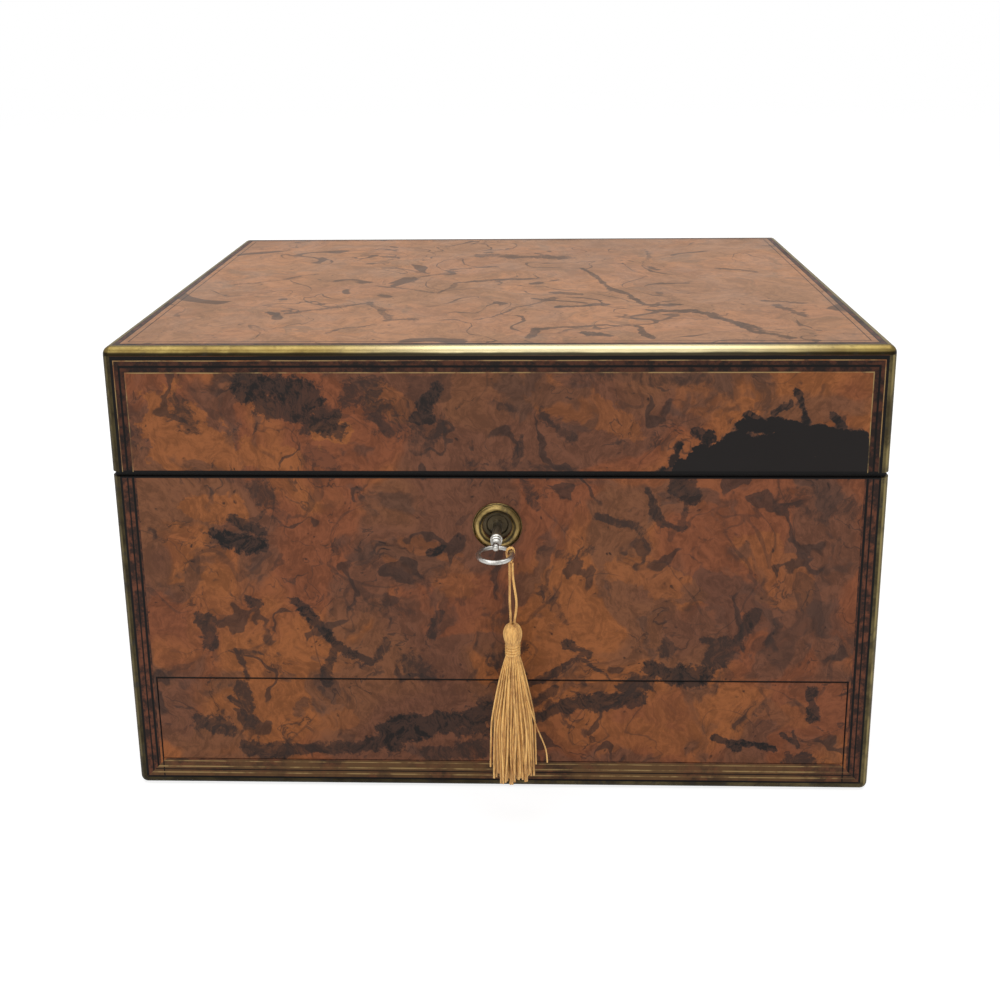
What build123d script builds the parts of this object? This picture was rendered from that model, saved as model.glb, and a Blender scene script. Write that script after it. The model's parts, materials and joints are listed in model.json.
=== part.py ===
# Antique fitted dressing box: a veneered, brass-bound case with a hinged lid, a drawer in the front,
# a box lock with its key and silk tassel, and fitted jars, tray and mirror inside.
# Millimetres. +X right, +Y back, +Z up. Origin: middle of the underside.

import os
from math import cos, pi, radians, sin, sqrt, tan

from build123d import *

os.makedirs("parts", exist_ok=True)

# Outside of the box
box_width = 305.0
box_depth = 230.0
seam_height = 139.6  # plane where lid and case meet
lid_height = 51.9  # seam to top of lid

# Skin: veneer and brass strips have the same thickness
skin = 1.4
brass_leg = 3.4  # width of a brass strip on each face
brass_round = 3.2  # outer rounding of the strips
hairline = 0.06  # glue line and mitre gap between neighbours of one node

# Boards
wall = 9.6
base_board = 11.0
drawer_opening = 37.6
dust_board = 5.0
housing = 3.0  # how far the dust board goes into the sides
lid_board = 8.0
facing = 1.0  # rim facings and hinge leaves
lining = 1.2

# Butt hinges
hinge_spacing = 190.0
hinge_length = 44.0
hinge_leaf = 9.0  # leaf width on the rim
knuckle_radius = 2.3
knuckle_count = 5
knuckle_gap = 0.3
pin_radius = 0.95
pin_clearance = 0.05
axis_behind = 1.2  # hinge axis behind the back face
leaf_screw_pitch = 15.0

# Screws
head_radius = 1.9
shank_radius = 0.9
screw_length = 7.0
pilot_clearance = 0.05

# Lock
lock_drop = 21.6  # key axis below the seam
lock_case_width = 40.0
lock_case_depth = 8.4
lock_case_drop = 34.6
lock_wall = 1.2
selvedge_width = 54.0
lock_screw_pitch = 46.0
nozzle_radius = 5.8
plug_radius = 4.0
plug_clearance = 0.05
plug_recess = 1.6  # plug face behind the front face
cam_radius = 4.6
cam_thickness = 1.0
cam_pin_radius = 0.6
cam_pin_offset = 3.4
cam_pin_clearance = 0.3
centre_pin_radius = 0.8
escutcheon_radius = 9.8
escutcheon_bore = 5.95
escutcheon_proud = 1.2
bolt_thickness = 2.4
bolt_bar_drop = 13.6  # underside of the bolt's bar below the seam
bolt_bar_height = 4.0
bolt_rest_gap = 0.3
bolt_side_gap = 0.5  # from a finger to the staple beside it
finger_height = 2.6
finger_drop = 7.0  # underside of the fingers below the seam
staple_pitch = 20.0
staple_thickness = 2.0
staple_width = 5.0
staple_drop = 8.6
staple_wall = 1.2

# Key
key_radius = 1.8
key_clearance = 0.06
key_bore = 0.95
key_depth = 9.0  # pipe end behind the front face
ring_radius = 6.4  # centreline of the ring bow
ring_wire = 0.9
ring_reach = 25.5  # ring centre in front of the face
collar_start = 11.0  # first collar in front of the face
collar_radius = 2.3
collar_long = 1.2
collar_short = 0.7
collar_bevel = 0.3
groove_radius = 1.6
groove_length = 0.4

# Tassel
knot_angle = 30.0  # place of the knot on the ring, from its right towards the box
cord_radius = 0.5
loop_cord = 0.42  # radius of the thinner loop round the wire
loop_half_width = 1.55
knot_drop = 3.9  # knot below the wire
knot_radius = 1.25
cord_gap = 0.3
head_drop = 30.6  # top of the head below the key
cord_drop = 36.8  # ends of the cords below the key
tassel_x = 6.15
head_half_pitch = 0.6  # cord ends each side of the head's axis
head_height = 7.8
binding_height = 5.7
binding_radius = 2.95
skirt_length = 54.0
skirt_radius = 9.6

# Drawer
drawer_gap = 0.3
drawer_side = 7.0
drawer_back_gap = 7.0  # between the drawer and the back board
drawer_bottom = 3.0
bottom_groove = 2.5
bottom_raise = 1.2
pad_radius = 4.0
pad_count = 6
pad_length = 84.0

# Locking pin of the drawer
lock_pin_margin = 0.3  # between the pin's guide and the side lining
lock_pin_radius = 1.5
lock_pin_clearance = 0.1
lock_pin_travel = 6.0
lock_pin_bite = 5.2  # how far it enters the drawer side when down
guide_radius = 2.6
pin_knob_height = 3.0

# Compartments
divider = 3.0
divider_drop = 5.6  # top of the dividers below the seam
back_row_room = 5.15  # round the jars, front and back
side_cell_width = 50.8
bearer_width = 3.0
bearer_height = 4.0
tray_height = 24.0
tray_wall = 3.0
tray_gap = 0.3
velvet = 1.0

# Jars
jar_room = 4.95  # round the jars, side to side
jar_shoulder_step = 3.5
jar_rise = 11.3  # top of a jar below the dividers
jar_neck_height = 4.5
jar_wall = 3.0
jar_base = 8.0
jar_lid_clearance = 0.3
jar_lid_height = 14.0
jar_count = 4
oblong_side_room = 2.9
oblong_end_room = 4.15
oblong_rise = 17.8  # top of an oblong jar below the dividers
oblong_round = 6.0
oblong_lid_height = 13.0
oblong_lip = 4.0

# Mirror
mirror_side_margin = 25.5
mirror_end_margin = 25.0
mirror_thickness = 3.0
mirror_bevel = 12.0  # width of the bevel
mirror_bevel_depth = 1.0
mirror_proud = 0.6
lid_pad = 4.0

# Values that follow from the sizes above
core_width = box_width - 2 * skin
core_depth = box_depth - 2 * skin
inner_width = core_width - 2 * wall
inner_depth = core_depth - 2 * wall
case_top = seam_height - facing
lid_bottom = seam_height + facing
lid_top = seam_height + lid_height
base_top = skin + base_board
dust_z = base_top + drawer_opening
floor_z = dust_z + dust_board
panel_width = box_width - 2 * brass_leg
panel_depth = box_depth - 2 * brass_leg
front_y = -box_depth / 2
face_z = lid_top - skin - lid_board  # underside of the lid top board
hinge_xs = (-hinge_spacing / 2, hinge_spacing / 2)
hinge_y = box_depth / 2 + axis_behind
leaf_y = core_depth / 2 - hinge_leaf
knuckle_pitch = hinge_length / knuckle_count
knuckle_length = knuckle_pitch - knuckle_gap
leaf_screw_y = core_depth / 2 - hinge_leaf / 2
leaf_screws = [(x + i * leaf_screw_pitch, leaf_screw_y) for x in hinge_xs for i in (-1, 0, 1)]
notch_drop = knuckle_radius + 0.4 - facing
lock_back = -inner_depth / 2  # rear of the lock case, flush with the inner face
lock_front = lock_back - lock_case_depth
lock_bottom = case_top - lock_case_drop
cavity_front = lock_front + lock_wall
cavity_back = lock_back - lock_wall
cavity_depth = cavity_back - cavity_front
cavity_mid_y = (cavity_front + cavity_back) / 2
plug_face = front_y + plug_recess
pilot_radius = shank_radius + pilot_clearance
lock_screws = [(i * lock_screw_pitch / 2, cavity_mid_y) for i in (-1, 1)]
inside_width = inner_width - 2 * lining
inside_depth = inner_depth - 2 * lining
floor_top = floor_z + lining
lock_height = seam_height - lock_drop
bolt_bar_z = seam_height - bolt_bar_drop
finger_z = seam_height - finger_drop
head_top = lock_height - head_drop
cord_end = lock_height - cord_drop
divider_top = seam_height - divider_drop
guide_top = divider_top
drawer_depth = inner_depth / 2 - front_y - drawer_back_gap
lock_pin_x = inside_width / 2 - guide_radius - lock_pin_margin
row_pitch = (inside_width + divider) / jar_count
jar_radius = (row_pitch - divider) / 2 - jar_room
jar_neck_radius = jar_radius - jar_shoulder_step
jar_height = divider_top - floor_top - jar_rise
back_row_depth = 2 * (jar_radius + back_row_room)
mirror_width = inner_width - 2 * mirror_side_margin
mirror_depth = inner_depth - 2 * mirror_end_margin
row_y = inside_depth / 2 - back_row_depth  # front of the back row
lock_pin_y = row_y - divider / 2  # in line with the long divider
tray_cell_width = inside_width - 2 * side_cell_width - 2 * divider
tray_cell_depth = inside_depth - back_row_depth - divider
oblong_width = side_cell_width - 2 * oblong_side_room
oblong_length = tray_cell_depth - 2 * oblong_end_room
oblong_height = divider_top - floor_top - oblong_rise


def finish(piece, label):
    """Label a sub-part and write it under its own name."""
    piece.part.label = label
    export_step(piece.part, f"parts/{label}.step")


# Case boards: the sides run the full depth and hold the dust board in stopped housings

with BuildPart() as case_sides:
    for side in (-1, 1):
        with BuildSketch(Plane.YZ.offset(side * inner_width / 2)):
            with Locations((0, (base_top + case_top) / 2)):
                Rectangle(core_depth, case_top - base_top)
        extrude(amount=side * wall)
        with BuildSketch(Plane.YZ.offset(side * inner_width / 2)):
            with Locations((0, dust_z + dust_board / 2)):
                Rectangle(inner_depth, dust_board)
        extrude(amount=side * housing, mode=Mode.SUBTRACT)
finish(case_sides, "case_sides")

with BuildPart() as case_front_board:
    with BuildSketch(Plane.XZ.offset(inner_depth / 2)):
        with Locations((0, (dust_z + case_top) / 2)):
            Rectangle(inner_width, case_top - dust_z)
    extrude(amount=wall)
    # mortise for the lock case, open at the back and at the rim
    with BuildSketch(Plane.XZ.offset(inner_depth / 2)):
        with Locations((0, (lock_bottom + case_top) / 2)):
            Rectangle(lock_case_width + 2 * hairline, lock_case_drop + 2 * hairline)
    extrude(amount=lock_case_depth, mode=Mode.SUBTRACT)
    with BuildSketch(Plane.XZ.offset(inner_depth / 2)):
        with Locations((0, lock_height)):
            Circle(nozzle_radius + hairline)
    extrude(amount=wall, mode=Mode.SUBTRACT)
    with BuildSketch(Plane.XY.offset(case_top)):
        with Locations(*lock_screws):
            Circle(pilot_radius)
    extrude(amount=-screw_length, mode=Mode.SUBTRACT)
finish(case_front_board, "case_front_board")

with BuildPart() as case_back_board:
    with BuildSketch(Plane.XZ.offset(-core_depth / 2)):
        with Locations((0, (base_top + case_top) / 2)):
            Rectangle(inner_width, case_top - base_top)
    extrude(amount=wall)
    with BuildSketch(Plane.XY.offset(case_top)):
        with Locations(*leaf_screws):
            Circle(pilot_radius)
    extrude(amount=-screw_length, mode=Mode.SUBTRACT)
finish(case_back_board, "case_back_board")

with BuildPart() as case_base:
    with BuildSketch(Plane.XY.offset(skin)):
        Rectangle(core_width, core_depth)
    extrude(amount=base_board)
finish(case_base, "case_base")

with BuildPart() as base_leather:
    with BuildSketch(Plane.XY):
        Rectangle(panel_width, panel_depth)
    extrude(amount=skin)
finish(base_leather, "base_leather")

with BuildPart() as dust_board_panel:
    with BuildSketch(Plane.XY.offset(dust_z)):
        Rectangle(inner_width + 2 * housing, inner_depth)
        with Locations((lock_pin_x, lock_pin_y)):
            Circle(lock_pin_radius + lock_pin_clearance, mode=Mode.SUBTRACT)
    extrude(amount=dust_board)
finish(dust_board_panel, "dust_board")

# Case veneers, let in between the brass strips; the front sheet frames the drawer

with BuildPart() as case_front_veneer:
    with BuildSketch(Plane.XZ.offset(core_depth / 2)):
        with Locations((0, (brass_leg + case_top) / 2)):
            Rectangle(panel_width, case_top - brass_leg)
        with Locations((0, base_top + drawer_opening / 2)):
            Rectangle(inner_width, drawer_opening, mode=Mode.SUBTRACT)
        with Locations((0, lock_height)):
            Circle(nozzle_radius + hairline, mode=Mode.SUBTRACT)
    extrude(amount=skin)
finish(case_front_veneer, "case_front_veneer")

with BuildPart() as case_side_veneers:
    for side in (-1, 1):
        with BuildSketch(Plane.YZ.offset(side * core_width / 2)):
            with Locations((0, (brass_leg + case_top) / 2)):
                Rectangle(panel_depth, case_top - brass_leg)
        extrude(amount=side * skin)
    with BuildSketch(Plane.XZ.offset(-core_depth / 2)):
        with Locations((0, (brass_leg + case_top) / 2)):
            Rectangle(panel_width, case_top - brass_leg)
        with Locations(*[(x, case_top) for x in hinge_xs]):
            Rectangle(hinge_length + 2 * knuckle_gap, 2 * notch_drop, mode=Mode.SUBTRACT)
    extrude(amount=-skin)
finish(case_side_veneers, "case_side_veneers")

# Brass strips: angle strips on the four uprights, and a mitred ring round the bottom or the top

for label, low, high in (
    ("case_corner_strips", brass_leg + hairline, case_top),
    ("lid_corner_strips", lid_bottom, lid_top - brass_leg - hairline),
):
    with BuildPart() as corner_strips:
        with BuildSketch(Plane.XY.offset(low)):
            RectangleRounded(box_width, box_depth, brass_round)
            Rectangle(core_width, core_depth, mode=Mode.SUBTRACT)
            Rectangle(box_width, panel_depth, mode=Mode.SUBTRACT)
            Rectangle(panel_width, box_depth, mode=Mode.SUBTRACT)
        extrude(amount=high - low)
    finish(corner_strips, label)

mitres = [
    Location((sx * box_width / 2, sy * box_depth / 2, 0), (0, 0, sx * sy * 45))
    for sx in (-1, 1)
    for sy in (-1, 1)
]

for label, outer_z, up in (("case_base_strips", 0, -1), ("lid_top_strips", lid_top, 1)):
    with BuildPart() as ring_strips:
        with BuildSketch(Plane.XY.offset(outer_z)):
            RectangleRounded(box_width, box_depth, brass_round)
        extrude(amount=-up * brass_leg)
        outer_face = ring_strips.faces().sort_by(Axis.Z)[-1 if up > 0 else 0]
        fillet(outer_face.edges(), brass_round)
        with BuildSketch(Plane.XY.offset(outer_z - up * brass_leg)):
            Rectangle(core_width, core_depth)
        extrude(amount=up * (brass_leg - skin), mode=Mode.SUBTRACT)
        with BuildSketch(Plane.XY.offset(outer_z)):
            Rectangle(panel_width, panel_depth)
        extrude(amount=-up * skin, mode=Mode.SUBTRACT)
        with Locations(*mitres):
            Box(4 * brass_leg, hairline, 3 * lid_top, mode=Mode.SUBTRACT)
    finish(ring_strips, label)

# Rim facings: thin dark strips set back behind the veneer, cut for the hinge leaves and the lock

for label, low in (("case_rim_facing", case_top), ("lid_rim_facing", seam_height)):
    with BuildPart() as rim_facing:
        with BuildSketch(Plane.XY.offset(low)):
            Rectangle(core_width, core_depth)
            Rectangle(inside_width, inside_depth, mode=Mode.SUBTRACT)
            with Locations(*[(x, core_depth / 2) for x in hinge_xs]):
                Rectangle(hinge_length + 2 * hairline, 2 * (hinge_leaf + hairline), mode=Mode.SUBTRACT)
            with Locations((0, (lock_front + lock_back) / 2)):
                Rectangle(
                    selvedge_width + 2 * hairline, lock_case_depth + 2 * hairline, mode=Mode.SUBTRACT
                )
        extrude(amount=facing)
        with Locations(*mitres):
            Box(8 * wall, hairline, 3 * lid_top, mode=Mode.SUBTRACT)
    finish(rim_facing, label)

# Linings

with BuildPart() as case_lining:
    with BuildSketch(Plane.XY.offset(floor_z)):
        Rectangle(inner_width, inner_depth)
    extrude(amount=case_top - floor_z)
    with BuildSketch(Plane.XY.offset(floor_top)):
        Rectangle(inside_width, inside_depth)
    extrude(amount=case_top - floor_top, mode=Mode.SUBTRACT)
    with BuildSketch(Plane.XY.offset(floor_z)):
        with Locations((lock_pin_x, lock_pin_y)):
            Circle(lock_pin_radius + lock_pin_clearance)
    extrude(amount=lining, mode=Mode.SUBTRACT)
finish(case_lining, "case_lining")

with BuildPart() as lid_lining:
    with BuildSketch(Plane.XY.offset(lid_bottom)):
        Rectangle(inner_width, inner_depth)
    extrude(amount=face_z - lid_bottom)
    with BuildSketch(Plane.XY.offset(lid_bottom)):
        Rectangle(inside_width, inside_depth)
    extrude(amount=face_z - lid_pad - lid_bottom, mode=Mode.SUBTRACT)
    with BuildSketch(Plane.XY.offset(face_z - lid_pad)):
        Rectangle(mirror_width, mirror_depth)
    extrude(amount=mirror_thickness - mirror_proud, mode=Mode.SUBTRACT)
finish(lid_lining, "lid_lining")

mirror_face = face_z - lid_pad - mirror_proud

with BuildPart() as mirror:
    with BuildSketch(Plane.XY.offset(mirror_face)):
        Rectangle(mirror_width - 2 * mirror_bevel, mirror_depth - 2 * mirror_bevel)
    with BuildSketch(Plane.XY.offset(mirror_face + mirror_bevel_depth)):
        Rectangle(mirror_width, mirror_depth)
    loft()
    with BuildSketch(Plane.XY.offset(mirror_face + mirror_bevel_depth)):
        Rectangle(mirror_width, mirror_depth)
    extrude(amount=mirror_thickness - mirror_bevel_depth)
finish(mirror, "mirror")

# Lid boards: four mitred walls and the top board

with BuildPart() as lid_frame:
    with BuildSketch(Plane.XY.offset(lid_bottom)):
        Rectangle(core_width, core_depth)
        Rectangle(inner_width, inner_depth, mode=Mode.SUBTRACT)
    extrude(amount=face_z - lid_bottom)
    with Locations(*mitres):
        Box(8 * wall, hairline, 3 * lid_top, mode=Mode.SUBTRACT)
    with BuildSketch(Plane.XY.offset(lid_bottom)):
        with Locations(*leaf_screws, *lock_screws):
            Circle(pilot_radius)
    extrude(amount=screw_length, mode=Mode.SUBTRACT)
finish(lid_frame, "lid_frame")

with BuildPart() as lid_top_board:
    with BuildSketch(Plane.XY.offset(face_z)):
        Rectangle(core_width, core_depth)
    extrude(amount=lid_board)
finish(lid_top_board, "lid_top_board")

with BuildPart() as lid_top_veneer:
    with BuildSketch(Plane.XY.offset(lid_top - skin)):
        Rectangle(panel_width, panel_depth)
    extrude(amount=skin)
finish(lid_top_veneer, "lid_top_veneer")

with BuildPart() as lid_front_veneer:
    with BuildSketch(Plane.XZ.offset(core_depth / 2)):
        with Locations((0, (lid_bottom + lid_top - brass_leg) / 2)):
            Rectangle(panel_width, lid_top - brass_leg - lid_bottom)
    extrude(amount=skin)
finish(lid_front_veneer, "lid_front_veneer")

with BuildPart() as lid_side_veneers:
    for side in (-1, 1):
        with BuildSketch(Plane.YZ.offset(side * core_width / 2)):
            with Locations((0, (lid_bottom + lid_top - brass_leg) / 2)):
                Rectangle(panel_depth, lid_top - brass_leg - lid_bottom)
        extrude(amount=side * skin)
    with BuildSketch(Plane.XZ.offset(-core_depth / 2)):
        with Locations((0, (lid_bottom + lid_top - brass_leg) / 2)):
            Rectangle(panel_width, lid_top - brass_leg - lid_bottom)
        with Locations(*[(x, lid_bottom) for x in hinge_xs]):
            Rectangle(hinge_length + 2 * knuckle_gap, 2 * notch_drop, mode=Mode.SUBTRACT)
    extrude(amount=-skin)
finish(lid_side_veneers, "lid_side_veneers")

# Butt hinges: leaves let into the rims, alternate knuckles on one pin each

for label, up, own_knuckles in (
    ("case_hinge_leaves", -1, range(0, knuckle_count, 2)),
    ("lid_hinge_leaves", 1, range(1, knuckle_count, 2)),
):
    knuckle_xs = [x + (i - (knuckle_count - 1) / 2) * knuckle_pitch for x in hinge_xs for i in own_knuckles]
    with BuildPart() as leaves:
        with BuildSketch(Plane.XY.offset(seam_height)):
            with Locations(*[(x, core_depth / 2 - hinge_leaf / 2) for x in hinge_xs]):
                Rectangle(hinge_length, hinge_leaf)
            with Locations(*[(x, (core_depth / 2 + hinge_y) / 2) for x in knuckle_xs]):
                Rectangle(knuckle_length, hinge_y - core_depth / 2)
        extrude(amount=up * facing)
        for x in knuckle_xs:
            with BuildSketch(Plane.YZ.offset(x - knuckle_length / 2)):
                with Locations((hinge_y, seam_height)):
                    Circle(knuckle_radius)
            extrude(amount=knuckle_length)
        for x in hinge_xs:
            with BuildSketch(Plane.YZ.offset(x - hinge_length / 2)):
                with Locations((hinge_y, seam_height)):
                    Circle(pin_radius + pin_clearance)
            extrude(amount=hinge_length, mode=Mode.SUBTRACT)
        with Locations(*[Location((x, y, seam_height), (90 + up * 90, 0, 0)) for x, y in leaf_screws]):
            Cone(
                shank_radius,
                head_radius,
                facing,
                align=(Align.CENTER, Align.CENTER, Align.MAX),
                mode=Mode.SUBTRACT,
            )
    finish(leaves, label)

with BuildPart() as hinge_pins:
    for x in hinge_xs:
        with BuildSketch(Plane.YZ.offset(x - hinge_length / 2)):
            with Locations((hinge_y, seam_height)):
                Circle(pin_radius)
        extrude(amount=hinge_length)
finish(hinge_pins, "hinge_pins")

# Countersunk slotted screws of the hinges and the lock, heads flush with leaf, selvedge or link plate

for label, up in (("case_screws", -1), ("lid_screws", 1)):
    screw_places = [Location((x, y, seam_height), (90 + up * 90, 0, 0)) for x, y in leaf_screws + lock_screws]
    with BuildPart() as screws:
        with Locations(*screw_places):
            Cone(shank_radius, head_radius, facing, align=(Align.CENTER, Align.CENTER, Align.MAX))
            Cylinder(shank_radius, screw_length, align=(Align.CENTER, Align.CENTER, Align.MAX))
            Box(
                2 * head_radius,
                head_radius / 4,
                head_radius / 4,
                align=(Align.CENTER, Align.CENTER, Align.MAX),
                mode=Mode.SUBTRACT,
            )
    finish(screws, label)

# Lock case with its selvedge in the rim: a thin box round the bolt and the cam

with BuildPart() as lock_case:
    with BuildSketch(Plane.XZ.offset(-lock_back)):
        with Locations((0, (lock_bottom + case_top) / 2)):
            Rectangle(lock_case_width, lock_case_drop)
    extrude(amount=lock_case_depth)
    with BuildSketch(Plane.XY.offset(case_top)):
        with Locations((0, (lock_front + lock_back) / 2)):
            RectangleRounded(selvedge_width, lock_case_depth, lock_case_depth / 2 - hairline)
    extrude(amount=facing)
    # room for the bolt
    with BuildSketch(Plane.XZ.offset(-cavity_back)):
        with Locations((0, (bolt_bar_z - bolt_rest_gap + case_top - lock_wall) / 2)):
            Rectangle(lock_case_width - 2 * lock_wall, case_top - lock_wall - bolt_bar_z + bolt_rest_gap)
        with Locations((0, lock_height)):
            Circle(cam_radius + bolt_rest_gap)
        with Locations((0, (lock_height + bolt_bar_z) / 2)):
            Rectangle(2 * (cam_radius + bolt_rest_gap), bolt_bar_z - lock_height)
    extrude(amount=cavity_depth, mode=Mode.SUBTRACT)
    # entries for the staples
    with BuildSketch(Plane.XY.offset(seam_height)):
        with Locations(*[(i * staple_pitch / 2, cavity_mid_y) for i in (-1, 1)]):
            Rectangle(staple_thickness + 1, cavity_depth)
    extrude(amount=-facing - 2 * lock_wall, mode=Mode.SUBTRACT)
    # plug bore
    with BuildSketch(Plane.XZ.offset(-cavity_front)):
        with Locations((0, lock_height)):
            Circle(plug_radius + plug_clearance)
    extrude(amount=lock_wall, mode=Mode.SUBTRACT)
    # pin that the pipe key slides over
    with BuildSketch(Plane.XZ.offset(-cavity_back)):
        with Locations((0, lock_height)):
            Circle(centre_pin_radius)
    extrude(amount=cavity_depth)
    with Locations(*[(x, y, seam_height) for x, y in lock_screws]):
        Cone(
            shank_radius,
            head_radius,
            facing,
            align=(Align.CENTER, Align.CENTER, Align.MAX),
            mode=Mode.SUBTRACT,
        )
finish(lock_case, "lock_case")

with BuildPart() as lock_nozzle:
    with BuildSketch(Plane.XZ.offset(-lock_front)):
        with Locations((0, lock_height)):
            Circle(nozzle_radius)
            Circle(plug_radius + plug_clearance, mode=Mode.SUBTRACT)
    extrude(amount=lock_front - plug_face + plug_recess / 2)
    mouth = lock_nozzle.faces().sort_by(Axis.Y)[0]
    chamfer(mouth.inner_wires()[0].edges(), plug_recess / 4)
finish(lock_nozzle, "lock_nozzle")

# Escutcheon: turned ring with a thin outer bead, a groove, a broad half-round and a bevelled bore
lock_axis = Axis((0, 0, lock_height), (0, 1, 0))

with BuildPart() as escutcheon:
    with BuildSketch(Plane.XY.offset(lock_height)):
        with BuildLine():
            Polyline(
                (escutcheon_bore, front_y),
                (escutcheon_bore, front_y - escutcheon_proud / 2),
                (escutcheon_bore + 0.6, front_y - escutcheon_proud),
            )
            ThreePointArc(
                (escutcheon_bore + 0.6, front_y - escutcheon_proud),
                ((escutcheon_bore + escutcheon_radius) / 2, front_y - 1.25 * escutcheon_proud),
                (escutcheon_radius - 0.9, front_y - escutcheon_proud / 2),
            )
            Polyline(
                (escutcheon_radius - 0.9, front_y - escutcheon_proud / 2),
                (escutcheon_radius - 0.6, front_y - escutcheon_proud / 3),
                (escutcheon_radius - 0.35, front_y - escutcheon_proud / 1.6),
                (escutcheon_radius, front_y - escutcheon_proud / 3),
                (escutcheon_radius, front_y),
                (escutcheon_bore, front_y),
            )
        make_face()
    revolve(axis=lock_axis)
finish(escutcheon, "escutcheon")

# Plug: turns in the nozzle; its cam pin drives the bolt

cam_back = cavity_front + bolt_rest_gap + cam_thickness
bolt_front = cam_back + bolt_rest_gap
cam_angle = radians(45)  # pin starts this far left of the top, and ends as far right
cam_pin_x = cam_pin_offset * sin(cam_angle)
cam_pin_z = cam_pin_offset * cos(cam_angle)

with BuildPart() as lock_plug:
    with BuildSketch(Plane.XZ.offset(-cam_back)):
        with Locations((0, lock_height)):
            Circle(plug_radius)
    extrude(amount=cam_back - plug_face)
    with BuildSketch(Plane.XZ.offset(-cam_back)):
        with Locations((0, lock_height)):
            Circle(cam_radius)
    extrude(amount=cam_thickness)
    with BuildSketch(Plane.XZ.offset(-cam_back)):
        with Locations((-cam_pin_x, lock_height + cam_pin_z)):
            Circle(cam_pin_radius)
    extrude(amount=-bolt_rest_gap - bolt_thickness)
    with BuildSketch(Plane.XZ.offset(-cam_back)):
        with Locations((0, lock_height)):
            Circle(key_radius + key_clearance)
    extrude(amount=cam_back - plug_face, mode=Mode.SUBTRACT)
finish(lock_plug, "lock_plug")

# Bolt: a bar with two fingers that enter the staples and a fork astride the cam pin

fork_width = 2 * (cam_pin_radius + cam_pin_clearance)
fork_leg = 1.5
fork_bottom = lock_height + cam_pin_z - cam_pin_radius / 3
finger_length = fork_leg + 2 * cam_pin_x  # the finger's post stays clear of the staple at full throw
finger_roots = [
    i * staple_pitch / 2 - staple_thickness / 2 - bolt_side_gap - finger_length for i in (-1, 1)
]

with BuildPart() as lock_bolt:
    with BuildSketch(Plane.XZ.offset(-bolt_front - bolt_thickness)):
        with Locations(((finger_roots[0] + finger_roots[1] + finger_length) / 2, bolt_bar_z)):
            Rectangle(
                finger_roots[1] + finger_length - finger_roots[0],
                bolt_bar_height,
                align=(Align.CENTER, Align.MIN),
            )
        for root in finger_roots:
            with Locations((root, bolt_bar_z)):
                Rectangle(fork_leg, finger_z + finger_height - bolt_bar_z, align=(Align.MIN, Align.MIN))
            with Locations((root, finger_z)):
                Rectangle(finger_length, finger_height, align=(Align.MIN, Align.MIN))
        with Locations((-cam_pin_x, bolt_bar_z)):
            Rectangle(fork_width + 2 * fork_leg, bolt_bar_z - fork_bottom, align=(Align.CENTER, Align.MAX))
            Rectangle(
                fork_width, bolt_bar_z - fork_bottom, align=(Align.CENTER, Align.MAX), mode=Mode.SUBTRACT
            )
    extrude(amount=bolt_thickness)
finish(lock_bolt, "lock_bolt")

# Link plate in the lid rim with its two staples

with BuildPart() as link_plate:
    with BuildSketch(Plane.XY.offset(seam_height)):
        with Locations((0, (lock_front + lock_back) / 2)):
            RectangleRounded(selvedge_width, lock_case_depth, lock_case_depth / 2 - hairline)
    extrude(amount=facing)
    for i in (-1, 1):
        with BuildSketch(Plane.YZ.offset(i * staple_pitch / 2 - staple_thickness / 2)):
            with Locations((cavity_mid_y, seam_height)):
                Rectangle(staple_width, staple_drop, align=(Align.CENTER, Align.MAX))
            with Locations((cavity_mid_y, seam_height - staple_drop + staple_wall)):
                Rectangle(
                    staple_width - 2 * 0.8,
                    staple_drop / 2,
                    align=(Align.CENTER, Align.MIN),
                    mode=Mode.SUBTRACT,
                )
        extrude(amount=staple_thickness)
    with Locations(*[Location((x, y, seam_height), (180, 0, 0)) for x, y in lock_screws]):
        Cone(
            shank_radius,
            head_radius,
            facing,
            align=(Align.CENTER, Align.CENTER, Align.MAX),
            mode=Mode.SUBTRACT,
        )
finish(link_plate, "link_plate")

# Key: pipe stem, turned collars and a round ring bow lying level

ring_y = front_y - ring_reach
boss_y = ring_y + ring_radius
neck_radius = 1.2
boss_radius = 1.6  # ball by which the stem is brazed to the ring
boss_rise = sqrt(boss_radius**2 - neck_radius**2)
key_turnings = []  # three collars, each smaller than the one before, with grooves between
turning_y = front_y - collar_start
for i, collar_length in enumerate((collar_long, collar_short, collar_short)):
    collar = collar_radius - i * collar_bevel / 2
    key_turnings += [(collar, turning_y - collar_bevel), (collar, turning_y - collar_bevel - collar_length)]
    turning_y -= 2 * collar_bevel + collar_length
    if i < 2:
        key_turnings += [(groove_radius, turning_y), (groove_radius, turning_y - groove_length)]
        turning_y -= groove_length

with BuildPart() as key:
    with BuildSketch(Plane.XY.offset(lock_height)):
        with BuildLine():
            Polyline(
                (0, front_y),
                (key_bore, front_y),
                (key_bore, front_y + key_depth),
                (key_radius, front_y + key_depth),
                (key_radius, front_y - collar_start),
                *key_turnings,
                (neck_radius, key_turnings[-1][1] - collar_bevel),
                (neck_radius, boss_y + boss_rise),
            )
            ThreePointArc((neck_radius, boss_y + boss_rise), (boss_radius, boss_y), (0, boss_y - boss_radius))
            Line((0, boss_y - boss_radius), (0, front_y))
        make_face()
    revolve(axis=lock_axis)
    with Locations((0, ring_y, lock_height)):
        Torus(ring_radius, ring_wire)
finish(key, "key")

# Tassel: a loop round the ring drawn into a knot, two cords, a pear head, a bound neck and a skirt

wire_x = ring_radius * cos(radians(knot_angle))
wire_y = ring_y + ring_radius * sin(radians(knot_angle))
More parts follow.
